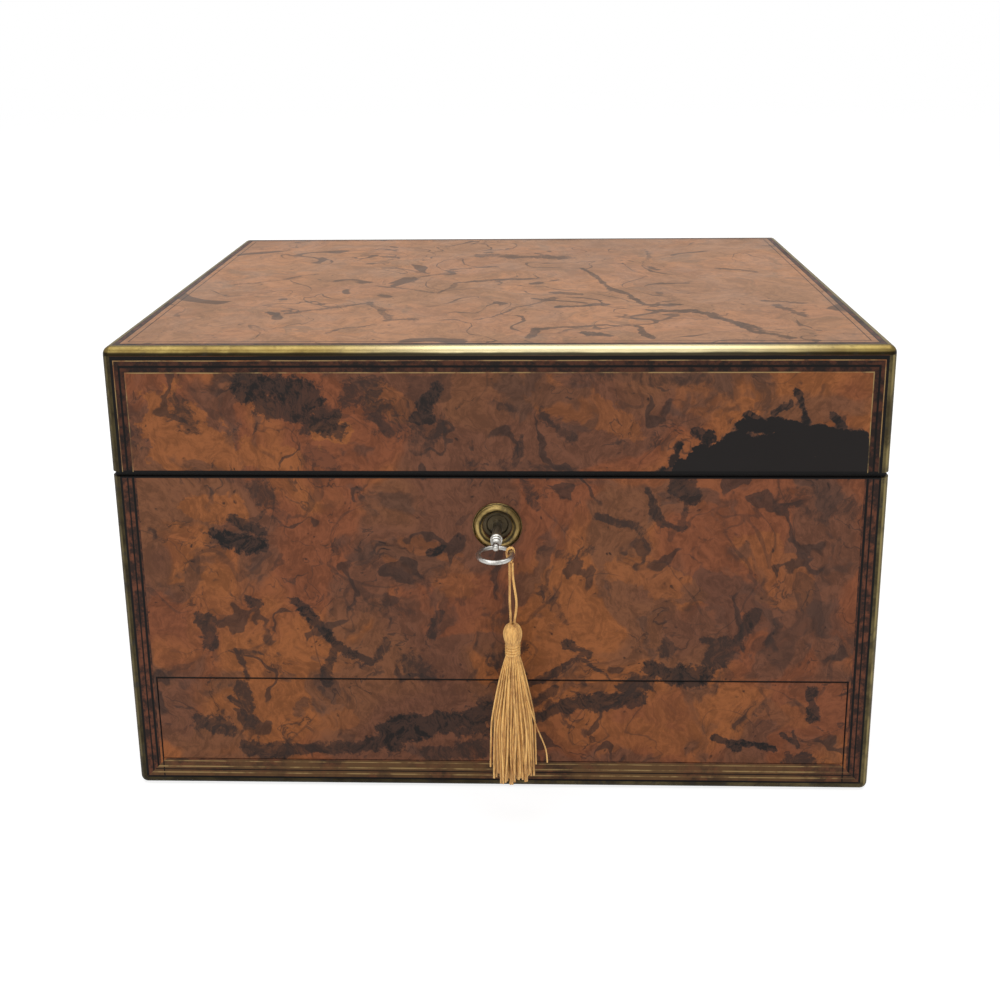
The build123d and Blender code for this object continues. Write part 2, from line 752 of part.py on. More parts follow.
# the loop hangs square to the mean of the wire's directions with the key unturned and turned
wire_lean = sin(radians(knot_angle)) / 2
loop_plane = Plane(
    origin=(wire_x, wire_y, lock_height),
    x_dir=(cos(radians(knot_angle)), wire_lean, 0),
    z_dir=(wire_lean, -cos(radians(knot_angle)), -wire_lean),
)
knot = loop_plane.from_local_coords((0, -knot_drop, 0))
knot_y = knot.Y


def corner_radii(points):
    """Radius at each inner corner: 0.45 of the shorter run over the tangent of half the turn."""
    route = [Vector(*p) for p in points]
    runs = [b - a for a, b in zip(route, route[1:])]
    return [
        0.45 * min(a.length, b.length) / tan(radians(a.get_angle(b)) / 2) for a, b in zip(runs, runs[1:])
    ]


loop_end = loop_cord + hairline
loop_points = (
    (-loop_end, -knot_drop),
    (-loop_half_width, -loop_half_width),
    (-loop_half_width, loop_half_width),
    (loop_half_width, loop_half_width),
    (loop_half_width, -loop_half_width),
    (loop_end, -knot_drop),
)

with BuildPart() as tassel_knot:
    with BuildLine(loop_plane) as loop_line:
        FilletPolyline(*loop_points, radius=corner_radii([(x, z, 0) for x, z in loop_points]))
    with BuildSketch(Plane(loop_line.line @ 0, z_dir=loop_line.line % 0)):
        Circle(loop_cord)
    sweep(path=loop_line.line)
    with Locations(Location(knot, (90, 0, 0))):
        Sphere(knot_radius)
finish(tassel_knot, "tassel_knot")

cord_start = knot.Z - knot_radius - cord_gap
cord_routes = {
    "left": (
        (5.15, knot_y, cord_start),
        (5.25, knot_y, lock_height - 12.0),
        (5.05, knot_y, lock_height - 18.5),
        (5.25, knot_y, lock_height - 24.5),
        (tassel_x - head_half_pitch, knot_y, lock_height - 29.4),
        (tassel_x - head_half_pitch, knot_y, cord_end),
    ),
    "right": (
        (6.35, knot_y, cord_start),
        (6.3, knot_y, lock_height - 10.4),
        (7.0, knot_y, lock_height - 15.6),
        (7.8, knot_y, lock_height - 21.0),
        (7.55, knot_y, lock_height - 25.6),
        (tassel_x + head_half_pitch, knot_y, lock_height - 29.4),
        (tassel_x + head_half_pitch, knot_y, cord_end),
    ),
}

for side_name, points in cord_routes.items():
    radii = corner_radii(points)
    with BuildPart() as tassel_cord:
        with BuildLine() as cord_line:
            FilletPolyline(*points, radius=radii)
        with BuildSketch(Plane(cord_line.line @ 0, z_dir=cord_line.line % 0)):
            Circle(cord_radius)
        sweep(path=cord_line.line)
    finish(tassel_cord, f"tassel_cord_{side_name}")
    run = cord_line.wires()[0].length
    print(
        f"tassel_cord_{side_name}: length {run:.1f}, section x length {pi * cord_radius**2 * run:.2f},",
        f"volume {tassel_cord.part.volume:.2f}, radii {[round(r, 1) for r in radii]}",
    )

tassel_axis = Axis((tassel_x, knot_y, 0), (0, 0, 1))
tassel_plane = Plane(origin=(tassel_x, knot_y, 0), x_dir=(1, 0, 0), z_dir=(0, -1, 0))
head_bottom = head_top - head_height
binding_bottom = head_bottom - binding_height

with BuildPart() as tassel_head:
    with BuildSketch(tassel_plane):
        with BuildLine():
            Polyline((0, head_bottom), (0, head_top), (1.3, head_top))
            Spline((1.3, head_top), (3.0, head_top - 2.0), (3.55, head_top - 4.3), (2.6, head_bottom))
            Line((2.6, head_bottom), (0, head_bottom))
        make_face()
    revolve(axis=tassel_axis)
    with BuildSketch(Plane.XY.offset(head_top)):
        with Locations(*[(tassel_x + i * head_half_pitch, knot_y) for i in (-1, 1)]):
            Circle(cord_radius + hairline)
    extrude(amount=cord_end - head_top, mode=Mode.SUBTRACT)
finish(tassel_head, "tassel_head")

turn_height = binding_height / 4

with BuildPart() as tassel_binding:
    with BuildSketch(tassel_plane):
        with Locations((0, binding_bottom)):
            Rectangle(binding_radius - turn_height / 4, binding_height, align=(Align.MIN, Align.MIN))
        with Locations(*[(binding_radius - turn_height / 2, binding_bottom + (i + 0.5) * turn_height) for i in range(4)]):
            Circle(turn_height / 2)
    revolve(axis=tassel_axis)
finish(tassel_binding, "tassel_binding")

with BuildPart() as tassel_skirt:
    with BuildSketch(tassel_plane):
        with BuildLine():
            Polyline(
                (skirt_radius, binding_bottom - skirt_length + 4),
                (skirt_radius - 2, binding_bottom - skirt_length),
                (0, binding_bottom - skirt_length),
                (0, binding_bottom),
                (binding_radius - 0.4, binding_bottom),
            )
            Spline(
                (binding_radius - 0.4, binding_bottom),
                (0.62 * skirt_radius, binding_bottom - 0.38 * skirt_length),
                (skirt_radius, binding_bottom - skirt_length + 4),
            )
        make_face()
    revolve(axis=tassel_axis)
finish(tassel_skirt, "tassel_skirt")

# Drawer: front with its veneer, sides and back, bottom in grooves, velvet with ring rolls

drawer_low = base_top + drawer_gap
drawer_high = dust_z - drawer_gap
drawer_width = inner_width - 2 * drawer_gap
drawer_inner_y = front_y + skin + wall
drawer_back_y = front_y + drawer_depth
well_width = drawer_width - 2 * drawer_side
bottom_z = drawer_low + bottom_raise

with BuildPart() as drawer_front:
    with BuildSketch(Plane.XZ.offset(core_depth / 2 - wall)):
        with Locations((0, (drawer_low + drawer_high) / 2)):
            Rectangle(drawer_width, drawer_high - drawer_low)
    extrude(amount=wall)
    with BuildSketch(Plane.XZ.offset(core_depth / 2 - wall)):
        with Locations((0, bottom_z + drawer_bottom / 2)):
            Rectangle(well_width, drawer_bottom)
    extrude(amount=bottom_groove, mode=Mode.SUBTRACT)
finish(drawer_front, "drawer_front")

with BuildPart() as drawer_veneer:
    with BuildSketch(Plane.XZ.offset(core_depth / 2)):
        with Locations((0, (drawer_low + drawer_high) / 2)):
            Rectangle(drawer_width, drawer_high - drawer_low)
    extrude(amount=skin)
finish(drawer_veneer, "drawer_veneer")

with BuildPart() as drawer_sides:
    for side in (-1, 1):
        with BuildSketch(Plane.YZ.offset(side * (drawer_width / 2 - drawer_side))):
            with Locations(((drawer_inner_y + drawer_back_y) / 2, (drawer_low + drawer_high) / 2)):
                Rectangle(drawer_back_y - drawer_inner_y, drawer_high - drawer_low)
        extrude(amount=side * drawer_side)
        with BuildSketch(Plane.YZ.offset(side * (drawer_width / 2 - drawer_side))):
            with Locations(((drawer_inner_y + drawer_back_y) / 2, bottom_z + drawer_bottom / 2)):
                Rectangle(drawer_back_y - drawer_inner_y, drawer_bottom)
        extrude(amount=side * bottom_groove, mode=Mode.SUBTRACT)
    with BuildSketch(Plane.XZ.offset(-drawer_back_y)):
        with Locations((0, (bottom_z + drawer_bottom + drawer_high) / 2)):
            Rectangle(well_width - 2 * hairline, drawer_high - bottom_z - drawer_bottom)
    extrude(amount=drawer_side)
    # socket for the locking pin
    with BuildSketch(Plane.XY.offset(drawer_high)):
        with Locations((lock_pin_x, lock_pin_y)):
            Circle(lock_pin_radius + 2 * lock_pin_clearance)
    extrude(amount=-lock_pin_bite - 1.3, mode=Mode.SUBTRACT)
finish(drawer_sides, "drawer_sides")

with BuildPart() as drawer_bottom_board:
    with BuildSketch(Plane.XY.offset(bottom_z)):
        with Locations((0, (drawer_inner_y + drawer_back_y) / 2)):
            Rectangle(well_width + 2 * bottom_groove, drawer_back_y - drawer_inner_y)
        with Locations((0, drawer_inner_y - bottom_groove / 2)):
            Rectangle(well_width, bottom_groove)
    extrude(amount=drawer_bottom)
finish(drawer_bottom_board, "drawer_bottom")

well_low = bottom_z + drawer_bottom
well_back = drawer_back_y - drawer_side
well_mid = (drawer_inner_y + well_back) / 2
pad_x = -well_width / 2 + velvet + pad_length / 2

with BuildPart() as drawer_lining:
    with BuildSketch(Plane.XY.offset(well_low)):
        with Locations((0, well_mid)):
            Rectangle(well_width, well_back - drawer_inner_y)
    extrude(amount=drawer_high - well_low - bottom_raise)
    with BuildSketch(Plane.XY.offset(well_low + velvet)):
        with Locations((0, well_mid)):
            Rectangle(well_width - 2 * velvet, well_back - drawer_inner_y - 2 * velvet)
    extrude(amount=drawer_high - well_low, mode=Mode.SUBTRACT)
    # ring rolls on the left, side by side from front to back, and a partition beside them
    with BuildSketch(Plane.YZ.offset(pad_x - pad_length / 2)):
        roll_pitch = 2 * pad_radius - hairline
        first_roll = drawer_inner_y + velvet + pad_radius - hairline
        with Locations(*[(first_roll + i * roll_pitch, well_low + velvet + pad_radius) for i in range(pad_count)]):
            Circle(pad_radius)
        with Locations((first_roll - pad_radius + hairline, well_low)):
            Rectangle(pad_count * roll_pitch, pad_radius + velvet, align=(Align.MIN, Align.MIN))
    extrude(amount=pad_length)
    with BuildSketch(Plane.XY.offset(well_low)):
        with Locations((pad_x + pad_length / 2 + velvet, well_mid)):
            Rectangle(2 * velvet, well_back - drawer_inner_y)
    extrude(amount=(drawer_high - well_low) * 0.7)
finish(drawer_lining, "drawer_lining")

# Locking pin of the drawer, drawn up at rest, and its guide tube

pin_tip = drawer_high + (lock_pin_travel - lock_pin_bite)

with BuildPart() as pin_guide:
    with BuildSketch(Plane.XY.offset(floor_top)):
        with Locations((lock_pin_x, lock_pin_y)):
            Circle(guide_radius)
            Circle(lock_pin_radius + lock_pin_clearance, mode=Mode.SUBTRACT)
    extrude(amount=guide_top - floor_top)
finish(pin_guide, "pin_guide")

with BuildPart() as drawer_pin:
    with BuildSketch(Plane.XY.offset(pin_tip)):
        with Locations((lock_pin_x, lock_pin_y)):
            Circle(lock_pin_radius)
    extrude(amount=guide_top + lock_pin_travel - pin_tip)
    with BuildSketch(Plane.XY.offset(guide_top + lock_pin_travel)):
        with Locations((lock_pin_x, lock_pin_y)):
            Circle(guide_radius)
    extrude(amount=pin_knob_height)
    fillet(drawer_pin.faces().sort_by(Axis.Z)[-1].edges(), pin_knob_height / 3)
finish(drawer_pin, "drawer_pin")

# Compartment dividers, with bearers for the tray

bearer_top = divider_top - tray_height + 2

with BuildPart() as compartment_dividers:
    with BuildSketch(Plane.XY.offset(floor_top)):
        with Locations((0, row_y - divider / 2)):
            Rectangle(inside_width, divider)
        with Locations(*[((i - jar_count / 2) * row_pitch, inside_depth / 2) for i in range(1, jar_count)]):
            Rectangle(divider, back_row_depth, align=(Align.CENTER, Align.MAX))
        with Locations(*[(i * (tray_cell_width + divider) / 2, -inside_depth / 2) for i in (-1, 1)]):
            Rectangle(divider, tray_cell_depth, align=(Align.CENTER, Align.MIN))
    extrude(amount=divider_top - floor_top)
    with BuildSketch(Plane.XY.offset(bearer_top - bearer_height)):
        with Locations(
            *[(i * (tray_cell_width - bearer_width) / 2, -inside_depth / 2) for i in (-1, 1)]
        ):
            Rectangle(bearer_width, tray_cell_depth, align=(Align.CENTER, Align.MIN))
    extrude(amount=bearer_height)
    # the long divider stops at the guide of the locking pin
    with BuildSketch(Plane.XY.offset(floor_top)):
        with Locations((lock_pin_x, lock_pin_y)):
            Circle(guide_radius + hairline)
            Rectangle(box_width, 2 * guide_radius, align=(Align.MIN, Align.CENTER))
    extrude(amount=divider_top - floor_top, mode=Mode.SUBTRACT)
finish(compartment_dividers, "compartment_dividers")

# Lift-out tray with velvet wells and two ring rolls

tray_width = tray_cell_width - 2 * tray_gap
tray_depth = tray_cell_depth - 2 * tray_gap
tray_y = -inside_depth / 2 + tray_cell_depth / 2
tray_top = bearer_top + tray_height
tray_floor = bearer_top + tray_wall
tray_inner_width = tray_width - 2 * tray_wall
tray_inner_depth = tray_depth - 2 * tray_wall
roll_depth = 30.0

with BuildPart() as tray_body:
    with BuildSketch(Plane.XY.offset(bearer_top)):
        with Locations((0, tray_y)):
            Rectangle(tray_width, tray_depth)
    extrude(amount=tray_height)
    with BuildSketch(Plane.XY.offset(tray_floor)):
        with Locations((0, tray_y)):
            Rectangle(tray_inner_width, tray_inner_depth)
    extrude(amount=tray_height, mode=Mode.SUBTRACT)
finish(tray_body, "tray_body")

well_pad = 8.0  # velvet block between the wells

with BuildPart() as tray_lining:
    with BuildSketch(Plane.XY.offset(tray_floor)):
        with Locations((0, tray_y)):
            Rectangle(tray_inner_width, tray_inner_depth)
    extrude(amount=tray_height - tray_wall - 2)
    # long well in front, ring rolls behind it, two square wells at the back
    long_well = tray_inner_depth - roll_depth - tray_inner_depth / 3 - 2 * well_pad
    front_edge = tray_y - tray_inner_depth / 2
    square_well = (tray_inner_width - 3 * well_pad) / 2
    with BuildSketch(Plane.XY.offset(tray_floor + velvet)):
        with Locations((0, front_edge + well_pad)):
            Rectangle(tray_inner_width - 2 * well_pad, long_well, align=(Align.CENTER, Align.MIN))
        with Locations(*[(i * (square_well + well_pad) / 2, tray_y + tray_inner_depth / 2 - well_pad) for i in (-1, 1)]):
            Rectangle(square_well, tray_inner_depth / 3, align=(Align.CENTER, Align.MAX))
        with Locations((0, front_edge + long_well + 1.5 * well_pad)):
            Rectangle(tray_inner_width - 2 * well_pad, roll_depth, align=(Align.CENTER, Align.MIN))
    extrude(amount=tray_height, mode=Mode.SUBTRACT)
    with BuildSketch(Plane.YZ.offset(-tray_inner_width / 2 + well_pad)):
        roll_radius = roll_depth / 8
        with Locations(
            *[
                (front_edge + long_well + 1.5 * well_pad + (2 * i + 1) * roll_radius, tray_floor + velvet + 8)
                for i in range(4)
            ]
        ):
            Circle(roll_radius + hairline)
        with Locations((front_edge + long_well + 1.5 * well_pad, tray_floor + velvet / 2)):
            Rectangle(roll_depth, 8 + velvet / 2, align=(Align.MIN, Align.MIN))
    extrude(amount=tray_inner_width - 2 * well_pad)
finish(tray_lining, "tray_lining")

# Round glass jars with plated slip-over lids, along the back

shoulder = jar_height - jar_neck_height
lid_radius = jar_radius + 0.4
jar_axes = [
    ((i - (jar_count - 1) / 2) * row_pitch, inside_depth / 2 - back_row_depth / 2) for i in range(jar_count)
]

for i, (x, y) in enumerate(jar_axes, start=1):
    jar_plane = Plane(origin=(x, y, floor_top), x_dir=(1, 0, 0), z_dir=(0, -1, 0))
    jar_axis = Axis((x, y, 0), (0, 0, 1))
    with BuildPart() as jar:
        with BuildSketch(jar_plane):
            Polygon(
                (0, 0),
                (jar_radius - 2, 0),
                (jar_radius, 2),
                (jar_radius, shoulder),
                (jar_neck_radius, shoulder),
                (jar_neck_radius, jar_height),
                (jar_neck_radius - jar_wall, jar_height),
                (jar_neck_radius - jar_wall, jar_base + 3),
                (jar_neck_radius - jar_wall - 3, jar_base),
                (0, jar_base),
                align=None,
            )
        revolve(axis=jar_axis)
    finish(jar, f"jar_{i}")
    with BuildPart() as jar_lid:
        with BuildSketch(jar_plane):
            with BuildLine():
                Polyline(
                    (0, jar_height + 0.5),
                    (jar_neck_radius + jar_lid_clearance, jar_height + 0.5),
                    (jar_neck_radius + jar_lid_clearance, shoulder),
                    (lid_radius, shoulder),
                    (lid_radius, shoulder + jar_lid_height - 4),
                )
                ThreePointArc(
                    (lid_radius, shoulder + jar_lid_height - 4),
                    (lid_radius - 1.2, shoulder + jar_lid_height - 1.2),
                    (lid_radius - 4, shoulder + jar_lid_height),
                )
                Polyline(
                    (lid_radius - 4, shoulder + jar_lid_height),
                    (0, shoulder + jar_lid_height),
                    (0, jar_height + 0.5),
                )
            make_face()
        revolve(axis=jar_axis)
    finish(jar_lid, f"jar_lid_{i}")

# Oblong glass jars with plated lids, one in each side cell

oblong_x = inside_width / 2 - side_cell_width / 2

with BuildPart() as oblong_jars:
    with BuildSketch(Plane.XY.offset(floor_top)):
        with Locations(*[(i * oblong_x, tray_y) for i in (-1, 1)]):
            RectangleRounded(oblong_width, oblong_length, oblong_round)
    extrude(amount=oblong_height)
    with BuildSketch(Plane.XY.offset(floor_top + jar_base)):
        with Locations(*[(i * oblong_x, tray_y) for i in (-1, 1)]):
            RectangleRounded(
                oblong_width - 2 * jar_wall, oblong_length - 2 * jar_wall, oblong_round - jar_wall
            )
    extrude(amount=oblong_height, mode=Mode.SUBTRACT)
finish(oblong_jars, "oblong_jars")

with BuildPart() as oblong_lids:
    with BuildSketch(Plane.XY.offset(floor_top + oblong_height)):
        with Locations(*[(i * oblong_x, tray_y) for i in (-1, 1)]):
            RectangleRounded(oblong_width + 0.6, oblong_length + 0.6, oblong_round)
    extrude(amount=oblong_lid_height)
    fillet(oblong_lids.edges().group_by(Axis.Z)[-1], 3)
    with BuildSketch(Plane.XY.offset(floor_top + oblong_height)):
        with Locations(*[(i * oblong_x, tray_y) for i in (-1, 1)]):
            RectangleRounded(
                oblong_width - 2 * jar_wall - 2 * jar_lid_clearance,
                oblong_length - 2 * jar_wall - 2 * jar_lid_clearance,
                oblong_round - jar_wall - jar_lid_clearance,
            )
    extrude(amount=-oblong_lip)
finish(oblong_lids, "oblong_lids")
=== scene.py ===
import json
import random
from itertools import product
from math import cos, pi, radians, sin

import bmesh
import bpy
import mathutils
from mathutils import Matrix, Vector

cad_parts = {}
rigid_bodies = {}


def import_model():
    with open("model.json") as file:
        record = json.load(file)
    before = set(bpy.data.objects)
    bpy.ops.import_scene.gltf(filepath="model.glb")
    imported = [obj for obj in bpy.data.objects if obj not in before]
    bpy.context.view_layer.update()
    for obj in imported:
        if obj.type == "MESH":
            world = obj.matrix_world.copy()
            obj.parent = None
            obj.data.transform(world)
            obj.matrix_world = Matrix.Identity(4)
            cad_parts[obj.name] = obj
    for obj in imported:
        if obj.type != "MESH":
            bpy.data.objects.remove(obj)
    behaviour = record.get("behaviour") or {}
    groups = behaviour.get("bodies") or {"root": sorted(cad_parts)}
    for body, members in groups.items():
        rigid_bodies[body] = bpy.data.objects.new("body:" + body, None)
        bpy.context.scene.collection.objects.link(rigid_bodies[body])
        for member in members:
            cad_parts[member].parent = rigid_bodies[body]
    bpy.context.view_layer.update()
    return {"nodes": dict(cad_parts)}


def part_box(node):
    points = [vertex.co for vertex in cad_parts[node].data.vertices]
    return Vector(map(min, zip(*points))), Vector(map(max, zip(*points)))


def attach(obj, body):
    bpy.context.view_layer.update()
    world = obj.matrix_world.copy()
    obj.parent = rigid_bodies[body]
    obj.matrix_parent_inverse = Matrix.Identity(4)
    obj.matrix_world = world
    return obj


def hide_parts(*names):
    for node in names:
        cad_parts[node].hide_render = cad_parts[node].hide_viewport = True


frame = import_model()
nodes = frame["nodes"]
mm = 0.001
boxSizes = {  # from the CAD, in mm
    "halfWidth": 152.5,
    "halfDepth": 115.0,
    "height": 191.5,
    "seam": 139.6,
    "lockHeight": 118.0,
}
bench = {}  # holds the node tree that is being built


def tint(red, green, blue):  # display values 0-255 to scene linear
    return tuple(((v / 255 + 0.055) / 1.055) ** 2.4 if v > 10 else v / 255 / 12.92 for v in (red, green, blue)) + (1.0,)


def addNode(kind, **settings):
    made = bench["tree"].nodes.new("ShaderNode" + kind)
    for key, value in settings.items():
        setattr(made, key, value)
    return made


def feed(socket, value):
    if isinstance(value, bpy.types.NodeSocket):
        bench["tree"].links.new(value, socket)
    elif value is not None:
        socket.default_value = value


def feedAll(sockets, values):
    for label, value in values.items():
        feed(sockets[label], value)


def calc(operation, *values):
    made = addNode("Math", operation=operation)
    for socket, value in zip(made.inputs, values):
        feed(socket, value)
    return made.outputs[0]


def mathTool(operation):
    return lambda *values: calc(operation, *values)


times, plus, minus = mathTool("MULTIPLY"), mathTool("ADD"), mathTool("SUBTRACT")
most, least, size = mathTool("MAXIMUM"), mathTool("MINIMUM"), mathTool("ABSOLUTE")


def vecCalc(operation, *values, out=0):
    made = addNode("VectorMath", operation=operation)
    for socket, value in zip(made.inputs, values):
        feed(socket, value)
    return made.outputs[out]


def scaled(vector, factor):
    made = vecCalc("SCALE", vector)
    feed(made.node.inputs["Scale"], factor)
    return made


def step(value, low, high, fromValue=0.0, toValue=1.0):  # smooth step between two values
    made = addNode("MapRange", interpolation_type="SMOOTHSTEP")
    for socket, item in zip(made.inputs, (value, low, high, fromValue, toValue)):
        feed(socket, item)
    return made.outputs[0]


def between(value, riseFrom, riseTo, fallFrom, fallTo):
    return times(step(value, riseFrom, riseTo), step(value, fallFrom, fallTo, 1.0, 0.0))


def blendTint(factor, first, second):
    made = addNode("Mix", data_type="RGBA", blend_type="MIX")
    feedAll(made.inputs, {0: factor, 6: first, 7: second})
    return made.outputs[2]


def noise(vector, scale, detail=3.0, roughness=0.55, distortion=0.0, colour=False):
    made = addNode("TexNoise")
    values = {"Vector": vector, "Scale": scale, "Detail": detail, "Roughness": roughness, "Distortion": distortion}
    feedAll(made.inputs, values)
    return made.outputs["Color" if colour else "Fac"]


def drift(vector, reach, *pattern):  # noise round zero
    return times(minus(noise(vector, *pattern), 0.5), reach)


def vecDrift(vector, reach, *pattern):
    return scaled(vecCalc("SUBTRACT", noise(vector, *pattern, colour=True), (0.5, 0.5, 0.5)), reach)


def xyzInMm(place):
    made = addNode("SeparateXYZ")
    feed(made.inputs[0], scaled(place, 1000.0))
    return made.outputs


def newGroup(name, inputs, outputs):
    tree = bench["tree"] = bpy.data.node_groups.new(name, "ShaderNodeTree")
    for label, kind, value in inputs:
        socket = tree.interface.new_socket(name=label, in_out="INPUT", socket_type="NodeSocket" + kind)
        if value is not None:
            socket.default_value = value
    for label, kind in outputs:
        tree.interface.new_socket(name=label, in_out="OUTPUT", socket_type="NodeSocket" + kind)
    return tree, tree.nodes.new("NodeGroupInput").outputs, tree.nodes.new("NodeGroupOutput").inputs


def useGroup(group, **values):
    made = addNode("Group", node_tree=group)
    feedAll(made.inputs, values)
    return made.outputs


def emptyMaterial(name):
    material = bpy.data.materials.new(name)
    material.use_nodes = True
    bench["tree"] = material.node_tree
    material.node_tree.nodes.clear()
    return material


def newMaterial(name):
    material = emptyMaterial(name)
    shader = addNode("BsdfPrincipled")
    feed(addNode("OutputMaterial").inputs[0], shader.outputs[0])
    return material, shader.inputs, addNode("TexCoord").outputs["Object"]


def bump(height, strength, distance):
    made = addNode("Bump")
    feedAll(made.inputs, {"Height": height, "Strength": strength, "Distance": distance})
    return made.outputs[0]


def dress(material, *names):
    for name in names:
        slots = nodes[name].data.materials
        slots.clear()
        slots.append(material)


def addObject(name, data):
    made = bpy.data.objects.new(name, data)
    bpy.context.collection.objects.link(made)
    return made


def deselect():
    for item in bpy.context.view_layer.objects:
        item.select_set(False)


cameraPlace = {
    "location": (0.0154, -0.5363, 0.3109),
    "yaw": 1.821,
    "pitch": 13.224,
    "roll": -0.608,
    "lens": 41.375,
    "sensor": 36,
    "shiftY": -0.20,
    "nearest": 0.01,
}


def setCamera(place):
    yaw, pitch, roll = (radians(place[k]) for k in ("yaw", "pitch", "roll"))
    forward = Vector((-sin(yaw) * cos(pitch), cos(yaw) * cos(pitch), -sin(pitch)))
    right = Vector((cos(yaw), sin(yaw), 0))
    up = right.cross(forward)
    rolledRight = right * cos(roll) + up * sin(roll)
    rolledUp = up * cos(roll) - right * sin(roll)
    camera = addObject("camera", bpy.data.cameras.new("camera"))
    turn = Matrix((rolledRight, rolledUp, -forward)).transposed().to_4x4()
    camera.matrix_world = Matrix.Translation(place["location"]) @ turn
    camera.data.lens = place["lens"]
    camera.data.sensor_width = place["sensor"]
    camera.data.shift_y = place["shiftY"]
    camera.data.clip_start = place["nearest"]
    bpy.context.scene.camera = camera


setCamera(cameraPlace)
print("camera set")

white = (1, 1, 1, 1)
studio = {
    "worldLevel": 0.62,
    "floorSize": 8.0,
    "floorTone": (0.9, 0.9, 0.9, 1),
    "floorGlow": 1.35,
    "glowShare": 0.55,  # of what the camera sees of the floor
    "lampTarget": (0, 0, 0.1),
    "lamps": {  # place, size and power
        "topLamp": ((0.0, 0.0, 1.5), (1.6, 1.4), 14.0),
        "frontLamp": ((-0.35, -1.6, 0.9), (1.6, 1.1), 9.0),
    },
}


def makeWorld():
    world = bpy.data.worlds.new("studio")
    bpy.context.scene.world = world
    world.use_nodes = True
    bench["tree"] = world.node_tree
    background = world.node_tree.nodes["Background"]
    rays = addNode("LightPath").outputs
    level = addNode("MapRange")
    seen = most(rays["Is Camera Ray"], rays["Is Transmission Ray"])  # these rays see a white background
    feedAll(level.inputs, {0: seen, 3: studio["worldLevel"], 4: 1.0})
    feedAll(background.inputs, {0: white, 1: level.outputs[0]})


def makeFloor():
    deselect()
    bpy.ops.mesh.primitive_plane_add(size=studio["floorSize"], location=(0, 0, 0))
    floor = bpy.context.object
    floor.name = "floor"
    material = emptyMaterial("paleFloor")
    # the floor is plain white, with the box's soft shadow kept on it
    diffuse, glow, mixed = addNode("BsdfDiffuse"), addNode("Emission"), addNode("MixShader")
    feed(diffuse.inputs[0], studio["floorTone"])
    feedAll(glow.inputs, {0: white, 1: studio["floorGlow"]})
    share = times(addNode("LightPath").outputs["Is Camera Ray"], studio["glowShare"])
    feedAll(mixed.inputs, {0: share, 1: diffuse.outputs[0], 2: glow.outputs[0]})
    feed(addNode("OutputMaterial").inputs[0], mixed.outputs[0])
    floor.data.materials.append(material)


def addLamp(name, place, lampSize, power):
    data = bpy.data.lights.new(name, "AREA")
    data.shape = "RECTANGLE"
    data.size, data.size_y = lampSize
    data.energy = power
    lamp = addObject(name, data)
    lamp.location = place
    lamp.rotation_euler = (Vector(studio["lampTarget"]) - Vector(place)).to_track_quat("-Z", "Y").to_euler()


makeWorld()
makeFloor()
for lampName, lampValues in studio["lamps"].items():
    addLamp(lampName, *lampValues)
bpy.context.scene.view_settings.view_transform = "Standard"
print("studio set")

tasselX, knotY = 6.15, -136.3
cordRoutes = {  # (x, z) points from the knot into the head
    "left": [
        (5.15, 112.69), (5.25, 106.0), (5.05, 99.5),
        (5.25, 93.5), (5.55, 88.6), (5.55, 81.2),
    ],
    "right": [
        (6.35, 112.69), (6.3, 107.6), (7.0, 102.4), (7.8, 97.0),
        (7.55, 92.4), (6.75, 88.6), (6.75, 81.2),
    ],
}
cordSizes = {
    "strands": 3,
    "strandRadius": 0.27,
    "strandOffset": 0.23,
    "strandTurn": 3.2,  # mm along the cord for one turn
    "pointGap": 0.35,
}


def silkMaterial(name, colour, dark):
    material, shader, place = newMaterial(name)
    fine = noise(vecCalc("MULTIPLY", place, (2600.0, 2600.0, 420.0)), 1.0, 2, 0.6)
    broad = noise(vecCalc("MULTIPLY", place, (420.0, 420.0, 60.0)), 1.0, 2, 0.5)
    tone = plus(times(fine, 0.45), times(broad, 0.55))
    feedAll(shader, {
        "Base Color": blendTint(step(tone, 0.32, 0.62), dark, colour),
        "Roughness": step(fine, 0.3, 0.7, 0.42, 0.62),
        "Normal": bump(fine, 0.25, 0.0002),
        "Sheen Weight": 0.35,
        "Sheen Roughness": 0.4,
        "Sheen Tint": tint(255, 225, 170),
    })
    return material


silk = silkMaterial("goldSilk", tint(234, 184, 108), tint(156, 104, 50))


def curveFrom(lines, radius, order=0, radii=None, sides=2, resolution=6):
    data = bpy.data.curves.new("strands", "CURVE")
    data.dimensions = "3D"
    data.bevel_depth = radius * mm
    data.bevel_resolution = sides
    data.resolution_u = resolution
    data.use_fill_caps = True
    for k, line in enumerate(lines):
        spline = data.splines.new("NURBS" if order else "POLY")
        spline.points.add(len(line) - 1)
        for n, point in enumerate(line):
            spline.points[n].co = (*point, 1)
            if radii:
                spline.points[n].radius = radii[k][n]
        if order:
            spline.order_u = order
            spline.use_endpoint_u = True
    return addObject("strands", data)


def curveMesh(curve):
    data = bpy.data.meshes.new_from_object(curve.evaluated_get(bpy.context.evaluated_depsgraph_get()))
    bpy.data.objects.remove(curve)
    return data


def silkFrom(curve, name, body, node=None):
    made = addObject(name, curveMesh(curve))
    made.data.materials.clear()
    made.data.materials.append(silk)
    made.data.shade_smooth()
    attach(made, body)
    if node:
        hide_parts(node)
    return made


def joinSilk(pieces, name, node):
    deselect()
    for item in pieces:
        item.select_set(True)
    bpy.context.view_layer.objects.active = pieces[0]
    bpy.ops.object.join()
    pieces[0].name = name
    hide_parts(node)
    return pieces[0]


